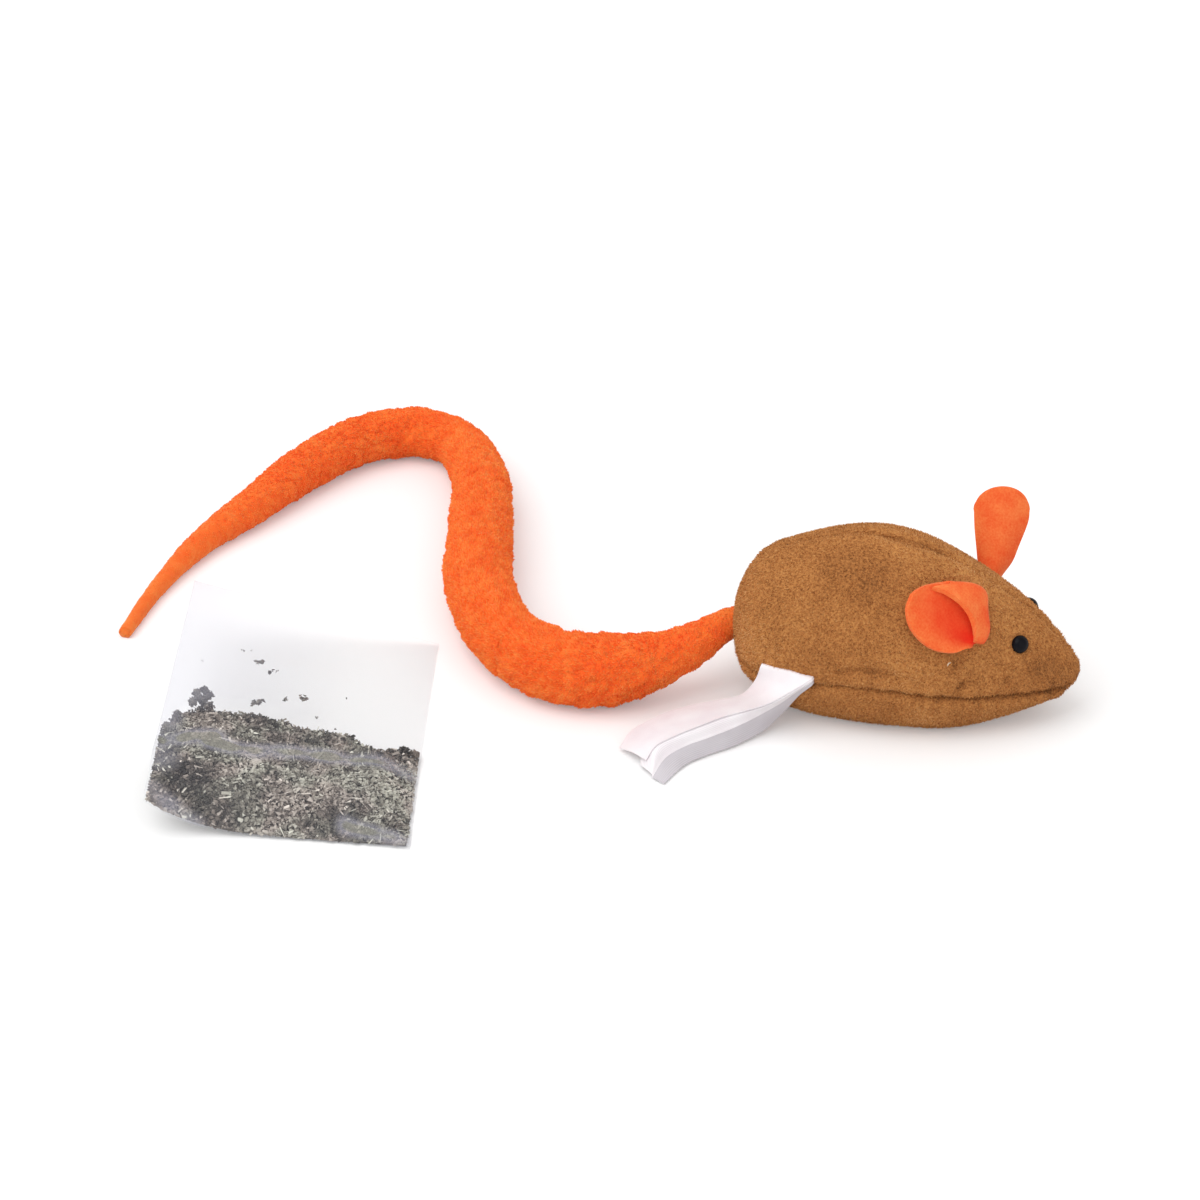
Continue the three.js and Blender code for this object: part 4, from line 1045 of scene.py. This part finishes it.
# herb dust clings to the film in soft bands, and two bands are painted highlight and painted shade: places across and
# along the bag, a width in mm and a strength
dustAndPaintedLightBands = [
    {"places": [(0.04, 0.255), (0.13, 0.265), (0.22, 0.275)], "wide": 3, "strength": 0.45},
    {"places": [(0.2, 0.26), (0.34, 0.25), (0.44, 0.255), (0.56, 0.27), (0.67, 0.28), (0.79, 0.3), (0.96, 0.315)],
     "wide": 2.6, "strength": 0.45},
    # a painted highlight over the herb, low on the right
    {"places": [(0.754, 0.055), (0.82, 0.045), (0.91, 0.035), (1, 0.02)], "wide": 2.6, "strength": 0.35},
    {"places": [(0.01, 0.06), (0.1, 0.03), (0.2, 0)], "wide": 3, "strength": 0.25},
    # painted shade along the film's curled left edge
    {"places": [(0, 0.2), (0, 0.4), (0.01, 0.6), (0.02, 0.72)], "wide": 7, "strength": 0.22},
    {"places": [(0, 0), (0, 1), (1, 1), (1, 0), (0, 0)], "wide": 1.2, "strength": 0.05},
]


def herbEdge(across, s=herbSettings):
    return np.interp(across, s["edgeAt"], s["edge"])


def dustAt(across, along, s=dustSettings):
    places = bagPoint(across, along, 0)
    dust = np.zeros(len(places))
    for band in dustAndPaintedLightBands:
        line = bagPoint(*np.array(band["places"]).T, 0)
        gap, _ = distanceTo(line[:, :2], places[:, :2])
        dust = np.maximum(dust, band["strength"] * np.exp(-(gap / (band["wide"] * mm)) ** 2))
    usual, spread = s["patches"]
    dust *= np.clip(usual + spread * noiseAt(places, s["patchSize"], seed=41), s["least"], s["most"])
    overHerb = np.clip((herbEdge(across) - along) / s["fade"], 0, 1)
    overClear = np.interp(across, [0, s["clearTo"]], [s["clearFrom"], 0])
    return np.maximum(dust, overHerb * s["overHerb"] + (1 - overHerb) * overClear)


def filmHeight(across, along, s=bagSettings):
    # the upper film over the herb, its fluffy crest and its own soft creases
    rim = np.clip(np.minimum(np.minimum(across, 1 - across), np.minimum(along, 1 - along)) / s["sealShare"], 0, 1)
    past = along - herbEdge(across) + s["crestFrom"]
    before, beyond = s["crestReach"]
    crest = s["crest"] * np.exp(-(past / np.where(past > 0, beyond, before)) ** 2) * np.minimum(rim * 0.6 + 0.4, 1)
    flat = bagPoint(across, along, 0)
    wrinkle = noiseAt(flat * [1, 0.5, 1], s["wrinkleSize"], seed=22, octaves=2)
    middle = (s["herbLow"] + s["herbFill"]) / 2
    draped = np.where(along > middle, middle + (along - middle) / s["drape"], along)
    return s["filmGap"] + herbHeight(across, draped) + crest + rim * (s["headroom"] + s["wrinkle"] * wrinkle)


def keepUnderFilm(corners, s=bagSettings):
    # presses whatever would poke out of the bag back in between its two films
    across, along = (np.clip(share, side, 1 - side) for share, side in zip(bagShares(corners), s["clearSides"]))
    inside = bagPoint(across, along, 0)
    height = np.clip(corners[:, 2] - inside[:, 2], s["clearUnder"], filmHeight(across, along) - s["clearOver"])
    return inside + height[:, None] * [0, 0, 1]


def addFilm(name, node, upper, s=bagSettings):
    film, across, along = addCloth(
        name, int(s["columns"] * detail), int(s["rows"] * detail),
        lambda across, along: bagPoint(across, along, filmHeight(across, along) if upper else s["underLift"]))
    storeValues(film, "dust", dustAt(across, along) if upper else np.zeros(len(across)))
    applyModifier(film, "SOLIDIFY", thickness=s["filmThick"], offset=0)
    film.data.materials.append(clearFilm)
    smoothShade(film)
    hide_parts(node)
    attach(film, "catnip_bag")


def addLoose(name, corners, shapes, tones):
    # loose crumbs of six corners each, given as a list of each crumb's first corner, second corner and so on
    first = np.arange(len(tones))[:, None] * 6
    piece = addMesh(name, keepUnderFilm(np.stack(corners, 1).reshape(-1, 3)),
                    np.concatenate([first + np.array(shape) for shape in shapes]))
    storeValues(piece, "tone", np.repeat(tones, 6))
    piece.data.materials.append(driedHerb)
    return piece


def scatterFlakes(name, places, sizes, tones, seed, flat=0.3):
    # each flake is a crooked flattened crumb of eight faces
    draws = np.random.default_rng(seed)
    count = len(places)
    normal = unit(draws.normal(0, 1, (count, 3)) + [0, 0, 0.6])
    first = unit(np.cross(normal, draws.normal(0, 1, (count, 3))))
    second = np.cross(normal, first)
    corners = []
    for k in range(4):
        turn = np.pi * k / 2 + draws.normal(0, 0.3, count)
        reach = sizes * (0.35 + 0.35 * draws.random(count))
        bend = sizes * draws.normal(0, 0.12, count)
        corners.append(places + (reach * np.cos(turn))[:, None] * first + (reach * np.sin(turn))[:, None] * second
                       + bend[:, None] * normal)
    thick = (sizes * flat * (0.3 + 0.5 * draws.random(count)))[:, None]
    corners += [places + thick * normal, places - thick * normal]
    shapes = [(k, (k + 1) % 4, 4) for k in range(4)] + [((k + 1) % 4, k, 5) for k in range(4)]
    return addLoose(name, corners, shapes, tones)


def scatterStalks(name, places, lengths, widths, directions, tones, seed):
    # each stalk is a crooked three-sided stick
    draws = np.random.default_rng(seed)
    side = unit(np.cross(directions, draws.normal(0, 1, (len(places), 3))))
    other = np.cross(directions, side)
    corners = []
    for end in (-0.5, 0.5):
        radius = (widths / 2 * draws.uniform(0.25, 1.1, len(places)))[:, None]
        skew = draws.normal(0, 0.5, (len(places), 1))
        for k in range(3):
            turn = 2 * np.pi * k / 3
            corners.append(places + (end * lengths[:, None] + skew * radius * math.sin(turn)) * directions
                           + radius * (math.cos(turn) * side + math.sin(turn) * other))
    shapes = ((0, 2, 1), (3, 4, 5), (0, 1, 4), (0, 4, 3), (1, 2, 5), (1, 5, 4), (2, 0, 3), (2, 3, 5))
    return addLoose(name, corners, shapes, tones)


def heapTop(across, along, s=herbSettings):
    # the heap's upper surface: the herb's swell, its lumps and its crumbled edge
    places = bagPoint(across, along, 0)
    large, largeSize, small, smallSize = s["lumps"]
    lumps = large * noiseAt(places, largeSize, seed=9) + small * noiseAt(places, smallSize, seed=10)
    fade = np.clip((herbEdge(across) - along) / s["edgeFade"], 0, 1) * np.clip(along / s["edgeFade"], 0, 1)
    height = bagSettings["filmGap"] + fade * (herbHeight(across, along) + s["raise"] + lumps)
    return bagPoint(across, along, np.maximum(height, s["lowest"]))


def toneAt(across, along, s=herbSettings):
    places = bagPoint(across, along, 0)
    large, largeSize, small, smallSize = s["toneNoise"]
    tone = s["tone"] + large * noiseAt(places, largeSize, seed=12) + small * noiseAt(places, smallSize, seed=16)
    for wide, high, reach, change in s["batches"]:
        gap = np.linalg.norm(places[:, :2] - bagPoint(np.array([wide]), np.array([high]), 0)[:, :2], axis=1)
        tone += change * np.exp(-(gap / (reach * mm)) ** 2)
    return tone - s["edgeDark"] * np.exp(-((herbEdge(across) - along) / s["edgeReach"]) ** 2)


def addHeap(s=herbSettings):
    side, low = s["heapSides"]

    def placeAt(across, along):
        across = side + (1 - 2 * side) * across
        return heapTop(across, low + (herbEdge(across) - s["heapShort"]) * along)
    heap, _, _ = addCloth("catnip_heap", int(s["heapColumns"] * detail), int(s["heapRows"] * detail), placeAt)
    applyModifier(heap, "SOLIDIFY", thickness=s["heapThick"], offset=-1)
    moveCorners(heap, keepUnderFilm(cornersOf(heap)))
    heap.data.materials.append(driedHerb)
    storeValues(heap, "tone", np.clip(0.22 + 0.6 * noiseAt(cornersOf(heap), 1.4 * mm, seed=14), 0, 0.5))
    return heap


def addHerb(s=herbSettings):
    draws = np.random.default_rng(11)

    def rooted(count, rise):
        across = 0.01 + 0.98 * draws.random(count)
        along = 0.008 + herbEdge(across) * draws.random(count)
        return across, along, heapTop(across, along) + draws.random((count, 1)) * [0, 0, rise]

    def atPlace(count, wide, high, height):
        return bagPoint(np.full(count, wide), np.full(count, high), height)

    def varied(shares, count, power=1):
        return mm * (shares[0] + shares[1] * draws.random(count) ** power)

    def addSticks(name, kind):
        places = rooted(int(kind["count"] * detail), s["stickRise"])[2]
        count = len(places)
        drawing, *limits = kind["turns"]
        turns = getattr(draws, drawing)(*limits, count)
        directions = unit(np.stack([np.cos(turns), np.sin(turns), draws.normal(0, kind["tilt"], count)], 1))
        lengths, widths = varied(kind["lengths"], count, kind["power"]), varied(kind["widths"], count)
        middle, spread, least, most = kind["tones"]
        tones = np.clip(draws.normal(middle, spread, count), least, most)
        return scatterStalks(name, places, lengths, widths, directions, tones, kind["seed"])

    heap = addHeap()
    across, along, places = rooted(int(s["flakes"] * detail), s["flakeRise"])
    sizes = varied(s["flakeSizes"], len(places), 2)
    tones = np.clip(toneAt(across, along) + draws.normal(0, 0.17, len(places)), 0, 0.85)
    parts = [scatterFlakes("flakes", places, sizes, tones, 13)]
    for k, (wide, high, radius) in enumerate(s["clumps"]):
        count = int(s["clumpFlakes"] * detail)
        reach = radius * mm * (0.75 + 0.5 * noiseAt(draws.normal(0, 1, (count, 3)), 0.8, seed=k))[:, None]
        spread = unit(draws.normal(0, 1, (count, 3))) * reach * draws.random((count, 1)) ** 0.5
        shade = draws.normal(0.28, 0.06)
        parts.append(scatterFlakes("clump", atPlace(count, wide, high, s["clumpRise"]) + spread,
                                   varied(s["clumpSizes"], count),
                                   np.clip(draws.normal(shade, 0.15, count), 0, 1), 30 + k))
    for k, (wide, high, size) in enumerate(s["crumbs"]):
        count = 2 + int(size * 6)
        spread = draws.normal(0, 0.35, (count, 3)) * size * mm * [1, 1, 0.3]
        parts.append(scatterFlakes("crumb", atPlace(count, wide, high, bagSettings["filmGap"]) + spread,
                                   np.full(count, 0.7 * size * mm),
                                   np.clip(draws.normal(0.3, 0.12, count), 0, 1), 60 + k))
    parts += [addSticks(name, kind) for name, kind in s["sticks"].items()]
    joinTo(heap, parts)
    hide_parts("catnip")
    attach(heap, "catnip_bag")


addFilm("bag_film_under", "bag_back_film", False)
addHerb()
addFilm("bag_film_over", "bag_front_film", True)
print("bag made")


# Inside pieces, seen only behind the open flap: the solids keep their shape and get real finishes

insideFinishes = {
    # siliconised polyester fibre: bright white, matt and cloudy
    "fibre_stuffing": ("polyester fibre fill", 0.95, [(0.3, "#dcdad2"), (0.7, "#f7f5ef")], 2.2 * mm, 0.6 * mm),
    # plain cotton lining: pale beige with a visible thread grid
    "lining_cloth": ("plain cotton lining", 0.9, [(0.3, "#c3b08c"), (0.7, "#d9cbb4")], 0.5 * mm, 0.1 * mm),
    # nylon hook tape: dark brown and bristly
    "hook_tape": ("nylon hook tape", 0.6, [(0.3, "#2b2019"), (0.7, "#4a382c")], 0.9 * mm, 0.5 * mm),
    # nylon loop tape: dark brown and fuzzy
    "loop_tape": ("nylon loop tape", 0.95, [(0.3, "#3a2b20"), (0.7, "#5b4636")], 0.6 * mm, 0.4 * mm),
    # moulded polypropylene: off-white with a fine tool grain
    "washer_plastic": ("moulded polypropylene", 0.45, [(0.3, "#dedcd4"), (0.7, "#ebe9e2")], 0.3 * mm, 0.03 * mm),
}


def addInsideFinish(name, roughness, stops, grain, relief):
    material, tree, surface = newMaterial(name, {"Roughness": roughness})
    weave = clouds(tree, grain, 4)
    paint(tree, surface, weave, stops)
    addBump(tree, surface, weave, relief, 0.7)
    return material


insideNodes = {
    "fibre_stuffing": [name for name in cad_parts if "stuffing" in name],
    "lining_cloth": ["pocket_liner"], "hook_tape": ["hook_strip"], "loop_tape": ["loop_strip"],
    "washer_plastic": ["right_eye_washer", "left_eye_washer"],
}
for slot, settings in insideFinishes.items():
    finish = addInsideFinish(*settings)
    for name in insideNodes[slot]:
        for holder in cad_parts[name].material_slots:
            holder.material = finish


# Tail's stuffing: a loose handful in each stretch, short of the joints so that it never shows where the tail bends

fillSettings = {"clear": 6 * mm, "inset": 2.2 * mm, "sides": 24, "rows": 24}


def addTailFill(k, s=fillSettings):
    start = joints[k] + s["clear"] / tailLength
    end = joints[k + 1] - s["clear"] / tailLength

    def placeAt(around, along):
        share = start + (end - start) * along
        centre = tailCentre(share)[0]
        outer = tailPoint(share, 2 * np.pi * around)
        reach = np.linalg.norm(outer - centre, axis=1, keepdims=True)
        taper = np.sqrt(np.clip(1 - np.abs(2 * along - 1) ** 6, 0, 1))[:, None]
        return centre + (outer - centre) * taper * (1 - s["inset"] / reach)
    fill, _, _ = addCloth("tail_fill_%d" % (k + 1), s["sides"], s["rows"], placeAt)
    applyModifier(fill, "WELD", merge_threshold=0.01 * mm)
    editMesh(fill, (bpy.ops.mesh.normals_make_consistent, {"inside": False}))
    smoothShade(fill)
    fill.data.materials.append(bpy.data.materials[insideFinishes["fibre_stuffing"][0]])
    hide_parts("tail_stuffing_%d" % (k + 1))
    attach(fill, bodies[k + 1])


for k in range(5):
    addTailFill(k)
print("inside pieces finished")


# Floor, light and background

studio = {
    "worldLight": 0.76, "floorSize": 6, "floorDrop": 0.2 * mm, "floorColour": "#eeeeee", "floorGlow": 0.2,
    "keyPlace": (-1, -0.8, 2), "keyAim": (-0.08, 0, 0), "keyPower": 25,
    "fillPlace": (1.4, -1.6, 1.4), "fillAim": (0, 0, 0.02), "fillPower": 6, "softboxSize": 2.2,
}


def addFloor(s=studio):
    bpy.ops.mesh.primitive_plane_add(size=s["floorSize"], location=(0, 0, -s["floorDrop"]))
    floor = bpy.context.object
    floor.name = "floor"
    material, tree, surface = newMaterial("pale studio floor", {
        "Roughness": 0.9, "Base Color": linearColour(s["floorColour"]), "Emission Color": (1, 1, 1, 1)})
    # it glows a little for the camera, so that it looks as white as the background
    rays = addNode(tree, "ShaderNodeLightPath").outputs
    seen = rays["Is Camera Ray"]
    for kind, other in (("MAXIMUM", rays["Is Glossy Ray"]), ("MAXIMUM", rays["Is Transmission Ray"]),
                        ("MULTIPLY", s["floorGlow"])):
        seen = addNode(tree, "ShaderNodeMath", {0: seen, 1: other}, operation=kind).outputs[0]
    tree.links.new(seen, surface.inputs["Emission Strength"])
    floor.data.materials.append(material)


def addSoftbox(name, s=studio):
    place, aim = Vector(s[name + "Place"]), Vector(s[name + "Aim"])
    bpy.ops.object.light_add(type="AREA", location=place)
    lamp = bpy.context.object
    lamp.name = name + " softbox"
    lamp.data.size = s["softboxSize"]
    lamp.data.energy = s[name + "Power"]
    lamp.rotation_mode = "QUATERNION"
    lamp.rotation_quaternion = (aim - place).to_track_quat("-Z", "Y")


addFloor()
addSoftbox("key")
addSoftbox("fill")
world = bpy.data.worlds.new("studio")
bpy.context.scene.world = world
world.use_nodes = True
background = world.node_tree.nodes["Background"].inputs
background["Strength"].default_value = studio["worldLight"]
background["Color"].default_value = (1, 1, 1, 1)
bpy.context.scene.view_settings.view_transform = "Standard"
print("studio set")
